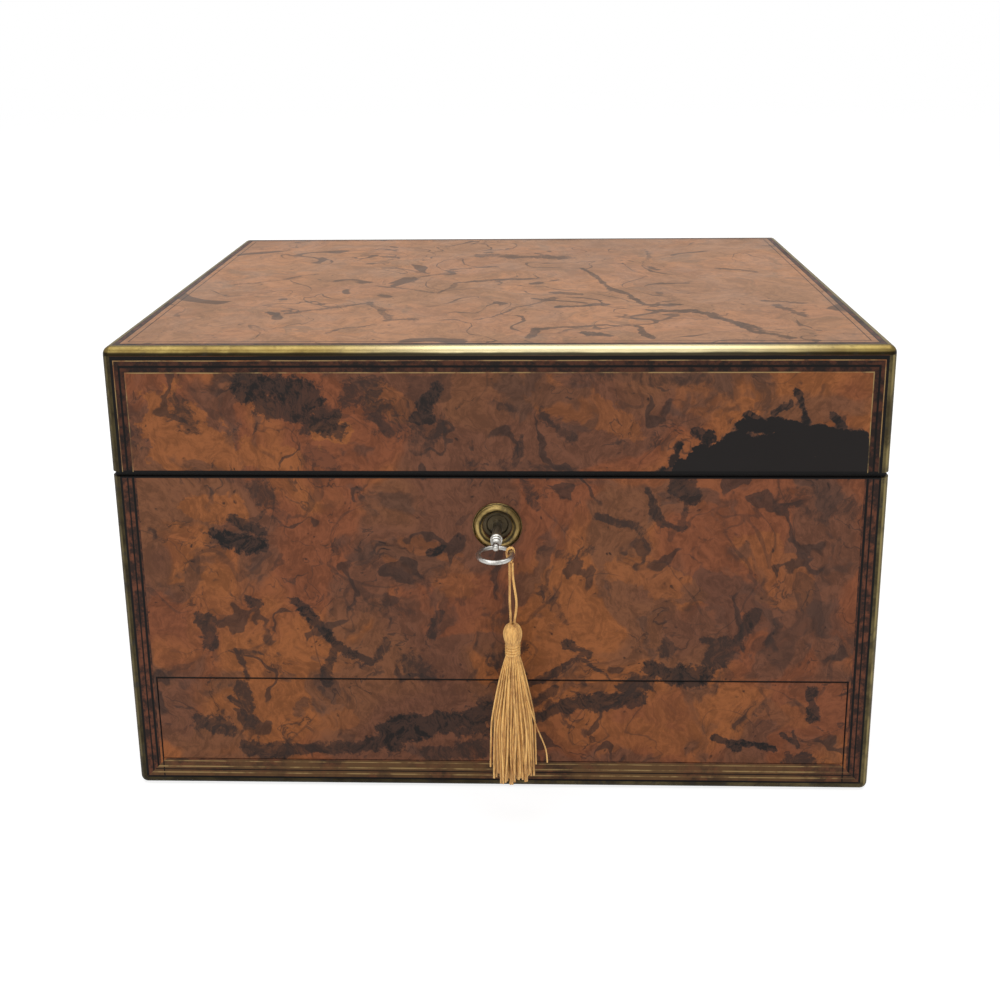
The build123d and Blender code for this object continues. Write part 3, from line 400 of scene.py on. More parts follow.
def silkCore(place, radius, segments, rings, stretch=1.0):  # the solid core under the threads
    deselect()
    bpy.ops.mesh.primitive_uv_sphere_add(segments=segments, ring_count=rings, radius=radius * mm, location=place)
    core = bpy.context.object
    bpy.ops.object.mode_set(mode="EDIT")
    bpy.ops.mesh.select_all(action="SELECT")
    bpy.ops.transform.resize(value=(1, 1, stretch), center_override=place)
    bpy.ops.object.mode_set(mode="OBJECT")
    bpy.ops.object.transform_apply(location=True)
    core.data.materials.append(silk)
    core.data.shade_smooth()
    return core


def smoothLine(points, resolution):  # points along the smooth spline through a route
    return [v.co.copy() for v in curveMesh(curveFrom([points], 0.0, 3, resolution=resolution)).vertices]


def twistedLines(line, strands, offset, turnLength):
    lines = [[] for _ in range(strands)]
    side = Vector((0, 1, 0))
    run = 0.0
    for n, point in enumerate(line):
        ahead = (line[min(n + 1, len(line) - 1)] - line[max(n - 1, 0)]).normalized()
        side = (side - ahead * side.dot(ahead)).normalized()
        other = ahead.cross(side)
        if n:
            run += (point - line[n - 1]).length
        for k in range(strands):
            angle = 2 * pi * (run / (turnLength * mm) + k / strands)
            lines[k].append(point + (side * cos(angle) + other * sin(angle)) * offset * mm)
    return lines


def resample(line, gap):
    out = [line[0]]
    for a, b in zip(line, line[1:]):
        pieces = max(1, round((b - a).length / (gap * mm)))
        out += [a.lerp(b, (i + 1) / pieces) for i in range(pieces)]
    return out


def makeCord(side, route):
    path = resample(smoothLine([Vector((x, knotY, z)) * mm for x, z in route], 16), cordSizes["pointGap"])
    strands = twistedLines(path, cordSizes["strands"], cordSizes["strandOffset"], cordSizes["strandTurn"])
    curve = curveFrom(strands, cordSizes["strandRadius"])
    return silkFrom(curve, f"silkCord_{side}", "tassel", f"tassel_cord_{side}"), path


cords = [makeCord(side, route) for side, route in cordRoutes.items()]
print("cords made")

skirtSizes = {
    "seed": 7,
    "top": 73.9,
    "bottom": 19.9,
    "radius": 9.6,
    "threads": 96,
    "threadRadius": 0.42,
    "goldenTurn": 2.399963,
    "points": 15,
    # one thread strays to the right, as a loose one does
    "stray": [
        (8.6, -137.5, 72.5), (10.6, -139.5, 62.0), (13.4, -140.5, 51.0), (16.3, -140.3, 42.5),
        (18.6, -139.9, 37.0), (19.3, -139.7, 33.0), (19.4, -139.7, 29.6),
    ],
}


def makeSkirt():
    s = skirtSizes
    rng = random.Random(s["seed"])
    lines, radii = [], []
    for k in range(s["threads"]):
        depth = ((k + 0.5) / s["threads"]) ** 0.5  # 0 at the middle, 1 outside
        neck = 0.35 + 2.0 * depth
        foot = (s["radius"] - 0.6) * depth * rng.uniform(0.86, 1.03)
        drop = s["top"] - s["bottom"] - 9.0 * depth ** 2 * rng.random() - 1.5 * rng.random()
        sway = rng.uniform(-0.16, 0.16)
        ripple, phase = rng.uniform(0.2, 0.75), rng.uniform(0, 2 * pi)
        line, sizes = [], []
        for n in range(s["points"]):
            t = n / (s["points"] - 1)
            spread = neck + (foot - neck) * (0.3 * t + 0.7 * min(1, 1.7 * t) ** 0.8) + 0.35 * sin(pi * t) * depth
            turn = s["goldenTurn"] * k + sway * t
            wave = ripple * sin(phase + 7.5 * t) * t
            x = tasselX + spread * cos(turn) + wave * sin(turn)
            y = knotY + spread * sin(turn) - wave * cos(turn)
            line.append(Vector((x, y, s["top"] + 0.9 - (drop + 0.9) * t)) * mm)
            sizes.append(0.62 + 0.38 * min(1, 3.0 * t))
        lines.append(line)
        radii.append(sizes)
    lines.append([Vector(p) * mm for p in s["stray"]])
    radii.append([0.7] * len(s["stray"]))
    curve = curveFrom(lines, s["threadRadius"], 4, radii, sides=1, resolution=3)
    return silkFrom(curve, "silkSkirt", "tassel", "tassel_skirt")


headSizes = {
    "profile": [(1.0, 87.4), (2.2, 86.7), (3.05, 85.3), (3.42, 83.5), (3.25, 81.8), (2.75, 79.6), (2.5, 79.0)],
    "swell": [0.35, 0.75, 1.0, 1.08, 1.0, 0.8, 0.7],
    "threads": 34,
    "threadRadius": 0.34,
    "core": {"radius": 3.2, "segments": 24, "rings": 14, "stretch": 1.22},
    "coreHeight": 83.2,
}


def ringPoint(radius, angle, height):  # round the tassel's axis
    return Vector((tasselX + radius * cos(angle), knotY + radius * sin(angle), height)) * mm


def makeHead():
    s = headSizes
    lines = []
    for k in range(s["threads"]):
        angle = 2 * pi * k / s["threads"]
        lines.append([ringPoint(radius, angle, height) for radius, height in s["profile"]])
    curve = curveFrom(lines, s["threadRadius"], 3, [s["swell"]] * len(lines), sides=1)
    threads = silkFrom(curve, "headThreads", "tassel")
    core = silkCore(ringPoint(0, 0, s["coreHeight"]), **s["core"])
    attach(core, "tassel")
    bpy.context.view_layer.update()
    return joinSilk([threads, core], "silkHead", "tassel_head")


bindingSizes = {"bottom": 74.4, "pitch": 1.125, "turns": 4, "steps": 32, "radius": 2.45, "thread": 0.56}


def makeBinding():
    s = bindingSizes
    line = []
    for n in range(s["turns"] * s["steps"] + 1):
        turn = n / s["steps"]
        line.append(ringPoint(s["radius"], 2 * pi * turn, s["bottom"] + s["pitch"] * turn))
    return silkFrom(curveFrom([line], s["thread"]), "silkBinding", "tassel", "tassel_binding")


knotSizes = {
    "wire": (5.5426, -137.3, 118.0),  # where the loop passes round the ring's wire
    "turn": radians(30),
    "loop": [
        (-0.55, -3.6), (-1.2, -2.4), (-1.5, -0.9), (-1.4, 0.6), (-0.8, 1.45), (0.0, 1.62),
        (0.8, 1.45), (1.4, 0.6), (1.5, -0.9), (1.2, -2.4), (0.55, -3.6),
    ],
    "loopShift": 0.42,
    "wrapTurns": 3,
    "wrapSteps": 24,
    "wrapRadius": 0.92,
    "wrapPitch": 0.62,
    "wrapLow": -4.6,
    "coreLow": -3.9,
}


def makeKnot():
    # the loop's ends are drawn through a wrapped knot
    s = knotSizes
    wire = Vector(s["wire"])
    lean = sin(s["turn"]) / 2
    normal = Vector((lean, -cos(s["turn"]), -lean)).normalized()
    across = Vector((cos(s["turn"]), lean, 0))
    across = (across - normal * across.dot(normal)).normalized()
    upward = normal.cross(across)

    def at(u, v, w=0.0):
        return (wire + across * u + upward * v + normal * w) * mm

    lines = []
    for shift in (-s["loopShift"], s["loopShift"]):
        path = smoothLine([at(u, v, shift * (1 - abs(v + 1) / 5)) for u, v in s["loop"]], 12)
        lines += twistedLines(resample(path, 0.3), 2, 0.17, 2.2)
    loops = silkFrom(curveFrom(lines, 0.21, sides=1), "silkLoops", "tassel_knot")
    wrap = []
    for n in range(s["wrapTurns"] * s["wrapSteps"] + 1):
        angle = 2 * pi * n / s["wrapSteps"]
        climb = s["wrapLow"] + s["wrapPitch"] * n / s["wrapSteps"]
        wrap.append(at(s["wrapRadius"] * cos(angle), climb, s["wrapRadius"] * sin(angle)))
    wraps = silkFrom(curveFrom(twistedLines(wrap, 2, 0.2, 2.0), 0.26, sides=1), "silkWrap", "tassel_knot")
    core = silkCore(at(0, s["coreLow"]), 1.0, 20, 12)
    return joinSilk([loops, wraps, core], "silkKnot", "tassel_knot")


skirt, head, binding, knot = makeSkirt(), makeHead(), makeBinding(), makeKnot()
print("tassel made")


def burrGroup():
    # figure of a burr: smoky clouds, wandering growth lines, ragged dark patches, eyes, pores and fine fibres
    labels = ("Cloud", "Hue", "Smoke", "Line", "Fleck", "Fibre", "Wander", "Grit")
    tree, given, out = newGroup(
        "burrFigure", [("Position", "Vector", None)], [("Ragged", "Vector")] + [(label, "Float") for label in labels],
    )
    place = given["Position"]

    def moved(vector, *shift):
        return vecCalc("ADD", vector, shift)

    def cells(scale):
        made = addNode("TexVoronoi", feature="F1")
        feedAll(made.inputs, {"Vector": torn, "Scale": scale})
        return made.outputs

    tiny = vecDrift(place, 0.0020, 330.0, 3, 0.6)
    warped = vecCalc("ADD", place, vecDrift(place, 0.050, 20.0, 3, 0.55))
    warped = vecCalc("ADD", warped, vecDrift(place, 0.010, 75.0, 3, 0.55))
    ragged = vecCalc("ADD", vecCalc("ADD", place, vecDrift(place, 0.008, 45.0, 3, 0.5)), tiny)
    torn = vecCalc("ADD", warped, tiny)
    field = noise(moved(torn, 0.61, 0.07, 0.23), 15.0, 3, 0.45)
    near = size(minus(calc("FRACT", times(field, 8.0)), 0.5))
    width = step(noise(place, 33.0, 3), 0.47, 0.68, 0.0, 0.16)
    line = times(step(minus(near, width), -0.02, 0.03, 1.0, 0.0), step(width, 0.004, 0.05))
    wisps = size(minus(noise(moved(torn, 0.29, 0.53, 0.71), 58.0, 3, 0.55, 0.8), 0.5))
    wisps = times(step(wisps, 0.002, 0.020, 1.0, 0.0), step(noise(place, 50.0, 3, 0.6), 0.50, 0.60))
    flake = vecCalc("DOT_PRODUCT", cells(75.0)["Color"], (1.0, 0.0, 0.0), out=1)
    fleck = step(cells(230.0)["Distance"], 0.10, 0.24, 1.0, 0.0)
    fibre = noise(vecCalc("MULTIPLY", torn, (1.0, 1.0, 0.30)), 620.0, 5, 0.7)
    fibre = plus(times(fibre, 0.5), times(noise(torn, 170.0, 4, 0.65, 0.4), 0.5))
    figure = {
        "Ragged": ragged,
        "Cloud": noise(torn, 17.0, 3, 0.5, 0.5),
        "Hue": noise(moved(warped, 0.43, 0.27, 0.91), 14.0, 3, 0.5),
        "Smoke": noise(moved(torn, 0.13, 0.77, 0.35), 36.0, 4, 0.55, 0.3),
        "Line": most(line, times(wisps, 0.9)),
        "Fleck": times(fleck, step(noise(place, 60.0, 4, 0.7), 0.50, 0.62)),
        "Fibre": plus(fibre, times(minus(flake, 0.5), 0.075)),
        "Wander": drift(ragged, 4.6, 85.0, 4, 0.6),
        "Grit": drift(ragged, 2.6, 420.0, 4, 0.75),
    }
    feedAll(out, figure)
    return tree


def streakGroup():
    # a given streak: 1 inside a rounded bar from one point to another, with a wandering, gritty edge
    tree, given, out = newGroup(
        "placedStreak",
        [("Position", "Vector", None), ("Wander", "Float", 0.0), ("Grit", "Float", 0.0), ("From", "Vector", None),
         ("To", "Vector", None), ("Radius", "Float", 0.002), ("Soft", "Float", 0.001)],
        [("Mask", "Float")],
    )
    fromStart = vecCalc("SUBTRACT", given["Position"], given["From"])
    along = vecCalc("SUBTRACT", given["To"], given["From"])
    share = calc(
        "DIVIDE", vecCalc("DOT_PRODUCT", fromStart, along, out=1), vecCalc("DOT_PRODUCT", along, along, out=1),
    )
    nearest = scaled(along, least(most(share, 0.0), 1.0))
    gap = vecCalc("DISTANCE", fromStart, nearest, out=1)
    radius = times(given["Radius"], calc("MULTIPLY_ADD", given["Wander"], 0.7, 1.0))
    away = calc("MULTIPLY_ADD", given["Grit"], given["Soft"], minus(gap, radius))
    edge = times(given["Soft"], 0.35)
    feed(out["Mask"], step(away, times(edge, -1.0), edge, 1.0, 0.0))
    return tree


burr, streak = burrGroup(), streakGroup()

walnut = {
    "orange": tint(130, 77, 42),
    "red": tint(114, 65, 41),
    "grey": tint(82, 58, 46),
    "smoke": tint(66, 49, 42),
    "dark": tint(48, 37, 33),
    "black": tint(28, 24, 23),
    "bandLight": tint(98, 56, 38),
    "bandDark": tint(42, 28, 23),
    "ebonyAndShadow": tint(11, 9, 9),
    "faded": tint(158, 116, 82),
    "brass": tint(150, 124, 82),
    "olive": tint(92, 66, 40),
}

# listed figure, in mm: (from, to, radius, softness, strength); front is (x, z) and top is (x, y)
frontDark = [
    (-112, 113, -96, 109, 3.2, 3, 0.95), (-104, 121, -94, 116, 2, 2.5, 0.8),
    (-102, 86, -99, 84, 2.4, 1.6, 0.75), (-120, 76, -117, 66, 3.4, 2.5, 0.7),
    (-84, 87, -66, 66, 1.7, 1.6, 0.9), (-66, 66, -52, 57, 2.2, 2, 0.85), (-66, 66, -70, 50, 1.8, 1.8, 0.7),
    (-52, 57, -46, 66, 1.8, 2, 0.55), (-107, 62, -105, 50, 1.4, 2, 0.55), (-105, 62, -97, 62, 1, 1.5, 0.5),
    (-28, 105, -22, 108, 1.5, 1, 0.85), (-24, 80, -27, 70, 1.8, 2, 0.55),
    (-96, 134, -86, 124, 4, 5, 0.45), (-92, 124, -98, 121, 1.2, 1, 0.5), (-36, 58, -28, 52, 4, 4, 0.45),
    (58, 134, 64, 120, 1.8, 1.6, 0.7), (64, 120, 73, 117, 1.3, 1.2, 0.7), (73, 118, 76, 136, 1.6, 1.6, 0.6),
    (70, 136, 76, 130, 3.6, 2, 0.75), (41, 122, 53, 119, 1.6, 1.4, 0.6), (53, 119, 58, 110, 1.8, 2, 0.5),
    (103, 81, 95, 66, 2, 1.8, 0.75), (95, 66, 82, 68, 1.8, 2, 0.6), (95, 66, 86, 60, 4.4, 3, 0.6),
    (62, 54, 84, 52, 4.5, 3, 0.85), (50, 48, 60, 50, 3.5, 3, 0.6), (68, 66, 66, 60, 2.4, 2, 0.6),
    (28, 67, 36, 63, 2.4, 1.8, 0.75), (34, 63, 24, 54, 2, 1.6, 0.7), (26, 55, 8, 46, 1.4, 1.4, 0.65),
    (34, 60, 44, 51, 0.9, 1, 0.6), (10, 66, -2, 58, 2.6, 3, 0.5), (18, 92, 26, 78, 1.6, 2.4, 0.4),
    (11, 139, 17, 124, 1.8, 2.6, 0.5), (18, 108, 32, 104, 2, 3, 0.35), (112, 130, 138, 124, 5, 5, 0.35),
    (28, 103, 38, 108, 1.6, 2, 0.45), (-64, 110, -40, 96, 2.4, 5, 0.3), (-60, 84, -36, 80, 2.4, 4, 0.3),
    # drawer
    (-108, 46, -103, 30, 3, 3, 0.6), (-112, 41, -106, 36, 1, 0.9, 0.7), (-125, 31, -112, 26, 4, 3.5, 0.65),
    (-105, 18, -60, 17, 3, 2.6, 0.7), (-60, 18, -40, 27, 3, 3, 0.75), (-44, 26, -18, 32, 6, 3, 0.85),
    (-20, 30, -2, 34, 6.5, 3.5, 0.8), (-30, 16, -6, 18, 3.5, 3.5, 0.6), (4, 32, 24, 46, 1.9, 1.8, 0.65),
    (4, 28, 30, 38, 2, 1.8, 0.75), (30, 38, 56, 41, 3.6, 2.4, 0.75), (90, 22, 112, 19, 1.2, 1.2, 0.9),
    (88, 24, 98, 19, 1.6, 1, 0.8), (126, 46, 128, 34, 2.4, 1.8, 0.8), (116, 25, 121, 22, 1, 0.8, 0.75),
    (121, 26, 123, 20, 0.9, 0.8, 0.7), (120, 14, 128, 14, 3.2, 2.4, 0.65), (106, 38, 98, 30, 3, 2.6, 0.35),
]
lidDark = [
    (80, 146, 146, 145, 6.8, 1.2, 1), (72, 142, 146, 141, 4.2, 1.2, 1), (92, 153, 142, 153, 3.4, 1.2, 1),
    (84, 149, 146, 149, 4.2, 1, 1), (62, 140, 76, 144, 2, 2, 0.96), (68, 144, 70, 152, 1.6, 1.4, 0.98),
    (80, 150, 83, 158, 2, 1.4, 0.98),
    (96, 160, 140, 156, 2.6, 1.2, 1), (98, 163, 102, 160, 2, 1, 0.95), (115, 172, 118, 160, 1.8, 1.2, 0.9),
    (112, 168, 106, 164, 1, 0.8, 0.8), (128, 165, 132, 158, 1.8, 1.2, 0.85), (76, 158, 84, 156, 2, 1.2, 0.8),
    (-96, 176, -72, 172, 6, 4, 0.85), (-88, 168, -66, 160, 6, 3.5, 0.8), (-74, 158, -66, 166, 4, 3, 0.6),
    (-124, 170, -120, 160, 3.5, 3.5, 0.5), (-56, 172, -48, 176, 4.5, 4.5, 0.5), (-28, 168, -22, 176, 3, 2, 0.8),
    (-32, 164, -26, 162, 2.2, 1.6, 0.75), (-22, 158, -27, 150, 3.5, 3.5, 0.5), (-45, 163, -32, 156, 5.5, 6, 0.4),
    (-73, 148, -66, 143, 4, 4, 0.4), (-1, 168, 6, 166, 1.6, 2, 0.4), (18, 166, 30, 156, 2, 2.4, 0.5),
    (10, 156, 8, 144, 1.6, 1.6, 0.55), (30, 180, 80, 178, 2.2, 3, 0.35), (-10, 144, 30, 142, 1.8, 3, 0.4),
]
topDark = [
    (-101, -60, -97, -70, 2, 1.5, 0.8), (-97, -60, -60, -38, 1.2, 1.5, 0.55), (-60, -38, -48, -74, 1.6, 1.5, 0.55),
    (-20, -2, 12, 6, 1.6, 1.5, 0.7), (-20, -2, -27, -24, 1.6, 1.5, 0.5), (-30, -24, -60, -8, 1.2, 1.2, 0.5),
    (-2, -40, 1, -42, 3, 1.5, 0.8), (-26, 30, -6, 33, 1.6, 1.6, 0.6), (-10, 62, 30, 58, 5, 5, 0.6),
    (40, 30, 50, -20, 1.6, 1.5, 0.8), (50, -20, 62, -46, 2, 1.5, 0.85), (62, -46, 78, -44, 1.8, 1.6, 0.8),
    (64, -56, 84, -58, 2.2, 1.6, 0.85), (84, -58, 104, -92, 2.2, 1.5, 0.9), (104, -92, 112, -104, 2.6, 1.6, 0.85),
    (28, -48, 44, -46, 2.4, 1.5, 0.85), (50, -70, 56, -72, 1.6, 1.2, 0.6), (34, -98, 40, -100, 3.4, 1.8, 0.85),
    (12, -100, 14, -88, 1.8, 1.2, 0.8), (14, -88, 56, -86, 1.1, 1.2, 0.7), (56, -86, 60, -102, 2.2, 1.3, 0.85),
    (-10, -74, 6, -50, 1, 1.2, 0.6), (6, -50, 24, -34, 1, 1.2, 0.5), (22, -26, 34, -28, 1.4, 1.4, 0.6),
    (118, -52, 126, -66, 3.4, 2.6, 0.7), (112, -44, 132, -48, 1.4, 1.4, 0.6), (106, 26, 122, 20, 1.8, 2, 0.6),
    (-36, 20, -66, 30, 1, 1.2, 0.5), (-70, -92, -52, -80, 1, 1.2, 0.5), (-48, -74, -40, -74, 2.4, 1.6, 0.6),
    (-128, -4, -92, 16, 0.9, 1.2, 0.45), (-44, 4, -24, 26, 1.2, 1.3, 0.5), (68, 40, 76, 74, 1.2, 1.6, 0.4),
]
frontLight = [
    (-122, 126, -104, 126, 6, 2, 0.9), (52, 98, 72, 92, 8, 3, 0.7), (104, 108, 116, 92, 9, 3, 0.6),
    (-40, 108, -20, 96, 8, 3, 0.5), (-115, 34, -95, 26, 6, 3, 0.5), (34, 26, 70, 22, 6, 3, 0.6),
    (95, 34, 120, 36, 6, 3, 0.4), (-84, 28, -66, 32, 5, 2, 0.5),
]
lidLight = [
    (-130, 162, -112, 150, 11, 2.5, 0.9), (-69, 158, -63, 158, 5.5, 1.2, 1), (-100, 146, -82, 146, 5, 2, 0.8),
    (-44, 172, -36, 166, 4.5, 2, 0.6), (20, 172, 50, 160, 7, 3, 0.7), (74, 172, 96, 168, 5, 3, 0.5),
]

borderRows = {  # black, band (walnut) and brass rows, each from one distance to another, in mm from the edge
    "lid": [
        ("black", 3.0, 4.5), ("brass", 4.5, 4.8), ("band", 4.8, 8.7), ("black", 6.3, 7.1), ("brass", 8.7, 9.05),
    ],
    "caseSides": [
        ("black", 3.2, 4.3), ("band", 4.3, 8.1), ("black", 6.1, 6.7), ("black", 8.1, 9.1), ("band", 9.1, 9.8),
    ],
    "caseFoot": [
        ("black", 3.2, 4.2), ("band", 4.2, 12.4), ("brass", 5.5, 6.1), ("brass", 8.3, 8.9), ("brass", 11.0, 11.4),
        ("black", 7.0, 7.5),
    ],
    "top": [("black", 3.2, 3.8), ("band", 3.8, 5.2), ("black", 5.2, 5.8), ("black", 8.1, 8.5)],
    "sides": [("black", 3.2, 4.0), ("band", 4.0, 9.0), ("black", 6.2, 7.0), ("brass", 8.6, 9.0)],
}
rowBlur = 0.12
drawerGapShadow = {"height": (49.7, 49.9, 50.4, 50.6), "side": (10.6, 10.8, 11.1, 11.3)}  # painted shadow of the gap round the drawer, as a black line round it


def borderMasks(place, distance, wobble, rows):
    masks = {"black": 0.0, "band": 0.0, "brass": 0.0}
    moved = plus(distance, drift(place, wobble, 30.0, 2))
    for kind, start, end in borderRows[rows]:
        row = between(moved, start - rowBlur, start + rowBlur, end - rowBlur, end + rowBlur)
        masks[kind] = most(masks[kind], row)
    return masks


def withSeamShadow(masks, z):  # painted shadow of the seam's groove: dark edges of the veneer beside the seam
    masks["black"] = most(masks["black"], step(size(minus(z, boxSizes["seam"])), 1.45, 1.7, 1.0, 0.0))
    return masks


def edgeDistance(value, half):  # from the nearer of two edges at +half and -half
    return minus(half, size(value))


def lidBorders(place):
    x, _, z = xyzInMm(place)
    top = times(minus(boxSizes["height"], z), 0.87)
    return withSeamShadow(borderMasks(place, least(edgeDistance(x, boxSizes["halfWidth"]), top), 0.35, "lid"), z)


def caseBorders(place):
    x, _, low = xyzInMm(place)
    side = edgeDistance(x, boxSizes["halfWidth"])
    sideMasks = borderMasks(place, side, 0.3, "caseSides")
    lowMasks = borderMasks(place, low, 0.3, "caseFoot")
    lower = step(minus(side, low), -0.1, 0.1)  # below the mitre
    masks = {}
    for kind in lowMasks:
        masks[kind] = most(times(lowMasks[kind], lower), times(sideMasks[kind], minus(1.0, lower)))
    # painted shadow of the gap round the drawer, along its top and up its sides
    line = times(between(low, *drawerGapShadow["height"]), step(side, *drawerGapShadow["side"][:2]))
    upright = times(between(side, *drawerGapShadow["side"]), step(low, 50.3, 50.6, 1.0, 0.0))
    masks["black"] = most(masks["black"], most(line, upright))
    masks["olive"] = times(between(low, 4.1, 4.4, 12.0, 12.4), lower)
    return withSeamShadow(masks, low)


def topBorders(place):
    x, y, _ = xyzInMm(place)
    near = least(edgeDistance(x, boxSizes["halfWidth"]), edgeDistance(y, boxSizes["halfDepth"]))
    return borderMasks(place, near, 0.3, "top")


def sideBorders(place, lid=False):
    x, y, z = xyzInMm(place)
    ends = most(edgeDistance(x, boxSizes["halfWidth"]), edgeDistance(y, boxSizes["halfDepth"]))
    other = times(minus(boxSizes["height"], z), 0.86) if lid else z
    return withSeamShadow(borderMasks(place, least(ends, other), 0.3, "sides"), z)


def placedMask(items, plane, spot, figure):
    total = 0.0
    for startX, startV, endX, endV, radius, soft, strength in items:
        ends = [Vector((x, 0, v) if plane == "XZ" else (x, v, 0)) * mm for x, v in ((startX, startV), (endX, endV))]
        mask = useGroup(
            streak, Position=spot, Wander=figure["Wander"], Grit=figure["Grit"], From=ends[0], To=ends[1],
            Radius=radius * mm, Soft=soft * mm,
        )["Mask"]
        total = most(total, times(mask, strength))
    return total


def curlingLines(place, tone, strength):  # growth lines, thick and thin, with a few dark eyes
    swirl = noise(vecCalc("ADD", place, (0.37, 0.11, 0.58)), 24.0, 3, 0.42, 1.1)
    thick = step(noise(place, 44.0, 2), 0.38, 0.62, 0.002, 0.012)
    line = step(minus(size(minus(swirl, 0.47)), thick), -0.003, 0.004, 1.0, 0.0)
    line = times(line, step(noise(place, 17.0, 2), 0.42, 0.52))
    return layered(tone, (times(most(line, step(swirl, 0.66, 0.675)), strength), "dark"))


def layered(tone, *layers):  # each layer is a mask and the name of its colour
    for mask, colour in layers:
        tone = blendTint(mask, tone, walnut[colour])
    return tone


def veneer(name, borders, **changes):
    v = {
        "plane": "XZ",  # the object axes that span the panel
        "dark": [], "light": [],
        "offset": (0, 0, 0), "bend": 0.005,  # shift of the burr and waviness of the placed figure
        "contours": 0.0, "lift": 1.0, "fade": 0.0, "gloss": 0.14, "bandShade": 0.0,
        **changes,
    }
    material, shader, place = newMaterial(name)
    figure = useGroup(burr, Position=vecCalc("ADD", place, v["offset"]))
    spot = vecCalc("ADD", vecCalc("SUBTRACT", figure["Ragged"], v["offset"]), vecDrift(place, v["bend"], 24.0, 2, 0.5))
    spot = vecCalc("MULTIPLY", spot, (1.0, 0.0, 1.0) if v["plane"] == "XZ" else (1.0, 1.0, 0.0))

    dark = placedMask(v["dark"], v["plane"], spot, figure)
    tone = blendTint(step(figure["Hue"], 0.44, 0.56), walnut["red"], walnut["orange"])
    smoky = times(step(figure["Cloud"], 0.47, 0.53, 1.0, 0.0), 0.55)
    if v["light"]:
        bright = placedMask(v["light"], v["plane"], spot, figure)
        tone = layered(tone, (bright, "orange"))
        smoky = times(smoky, minus(1.0, bright))
    smoke = times(step(figure["Smoke"], 0.55, 0.61), 0.55)
    # the faded layer is partly a faded colour and partly a painted sheen
    tone = layered(tone, (smoky, "grey"), (smoke, "smoke"), (times(figure["Line"], 0.72), "dark"), (v["fade"], "faded"))
    shade = addNode("HueSaturation")
    lift = times(step(figure["Fibre"], 0.38, 0.62, 0.74, 1.22), v["lift"])
    feedAll(shade.inputs, {"Value": lift, "Color": tone})
    tone = shade.outputs[0]
    if v["contours"]:
        tone = curlingLines(place, tone, v["contours"])
    torn = most(step(figure["Fibre"], 0.40, 0.58, 1.12, 0.66), step(dark, 0.9, 1.0))
    broken = times(dark, torn)
    tone = layered(
        tone, (step(broken, 0.0, 0.62, 0.0, 0.84), "dark"), (step(broken, 0.62, 1.0), "black"),
        (times(figure["Fleck"], 0.75), "black"), (v["fade"] * 0.42, "faded"),
    )

    masks = borders(place)
    bandTone = blendTint(step(noise(place, 240.0, 4, 0.7), 0.38, 0.66), walnut["bandDark"], walnut["bandLight"])
    tone = blendTint(masks["band"], tone, blendTint(v["bandShade"], bandTone, walnut["ebonyAndShadow"]))
    if "olive" in masks:
        rubbedWearAndHighlight = times(masks["olive"], step(noise(place, 55.0, 4, 0.6), 0.36, 0.6, 0.25, 0.9))
        tone = layered(tone, (rubbedWearAndHighlight, "olive"))
    brass = times(masks["brass"], step(noise(place, 80.0, 4, 0.65), 0.40, 0.58, 0.15, 1.0))
    # the black mask paints the ebony lines and also the painted shadows of the seam and of the drawer gap, all in the
    # ebony tint
    feedAll(shader, {
        "Base Color": layered(tone, (masks["black"], "ebonyAndShadow"), (brass, "brass")),
        "Metallic": times(brass, 0.5),
        "Roughness": step(figure["Smoke"], 0.3, 0.7, 0.36, 0.5),
        "Specular IOR Level": v["gloss"],
        "Normal": bump(figure["Fibre"], 0.1, 0.0002),
    })
    return material


dress(
    veneer("burrFront", caseBorders, dark=frontDark, light=frontLight, contours=0.4),
    "case_front_veneer", "drawer_veneer",
)
dress(
    veneer("burrLidFront", lidBorders, dark=lidDark, light=lidLight, contours=0.35, bandShade=0.45),
    "lid_front_veneer",
)
# the top is painted lighter and paler than the front: its lift and fade stand partly for a faded top and partly for
# painted sheen and light from above
dress(
    veneer(
        "burrTop", topBorders, plane="XY", dark=topDark, offset=(0.2, 0.35, 0.1), bend=0.022, contours=0.85,
        lift=1.22, fade=0.5, gloss=0.26,
    ),
    "lid_top_veneer",
)
dress(veneer("burrSides", sideBorders, offset=(0.7, 0.2, 0.3)), "case_side_veneers")
dress(veneer("burrLidSides", lambda place: sideBorders(place, lid=True), offset=(0.7, 0.2, 0.3)), "lid_side_veneers")
print("veneer dressed")


def topStripShape(place, tone):
    # the lower part of the strip is painted near black, a painted shade and dark reflection on its rounding, and a long
    # part of its middle is painted bright, a painted highlight
    x, y, z = xyzInMm(place)
    # painted highlight: a long bright patch along the middle of the front strip
    rubbedWearAndHighlight = times(step(size(minus(x, 34.0)), 30.0, 110.0, 0.6, 0.0), step(y, -112.0, -111.0, 1.0, 0.0))
    tone = blendTint(rubbedWearAndHighlight, tone, tint(250, 236, 190))
    # painted shade and dark reflection: the strip below z 189 mm is blended to near black
    low = plus(z, drift(place, 0.8, 60.0, 2))
    return blendTint(step(low, 189.0, 189.9, 0.93, 0.0), tone, tint(26, 22, 18))


def cornerStripShape(place, tone):
    # darker over the left half and darkest round the outer corner, with a thin worn line beside it
    x, y, _ = xyzInMm(place)
    inset = most(edgeDistance(x, boxSizes["halfWidth"]), edgeDistance(y, boxSizes["halfDepth"]))
    worn = times(between(inset, 1.0, 1.3, 1.9, 2.3), step(noise(place, 70.0, 3, 0.6), 0.4, 0.55, 0.1, 0.85))
    tone = blendTint(worn, tone, tint(150, 134, 88))
    dark = most(step(x, -10.0, 10.0, 0.55, 0.0), step(inset, 0.7, 1.2, 0.8, 0.0))
    return blendTint(dark, tone, tint(30, 26, 22))


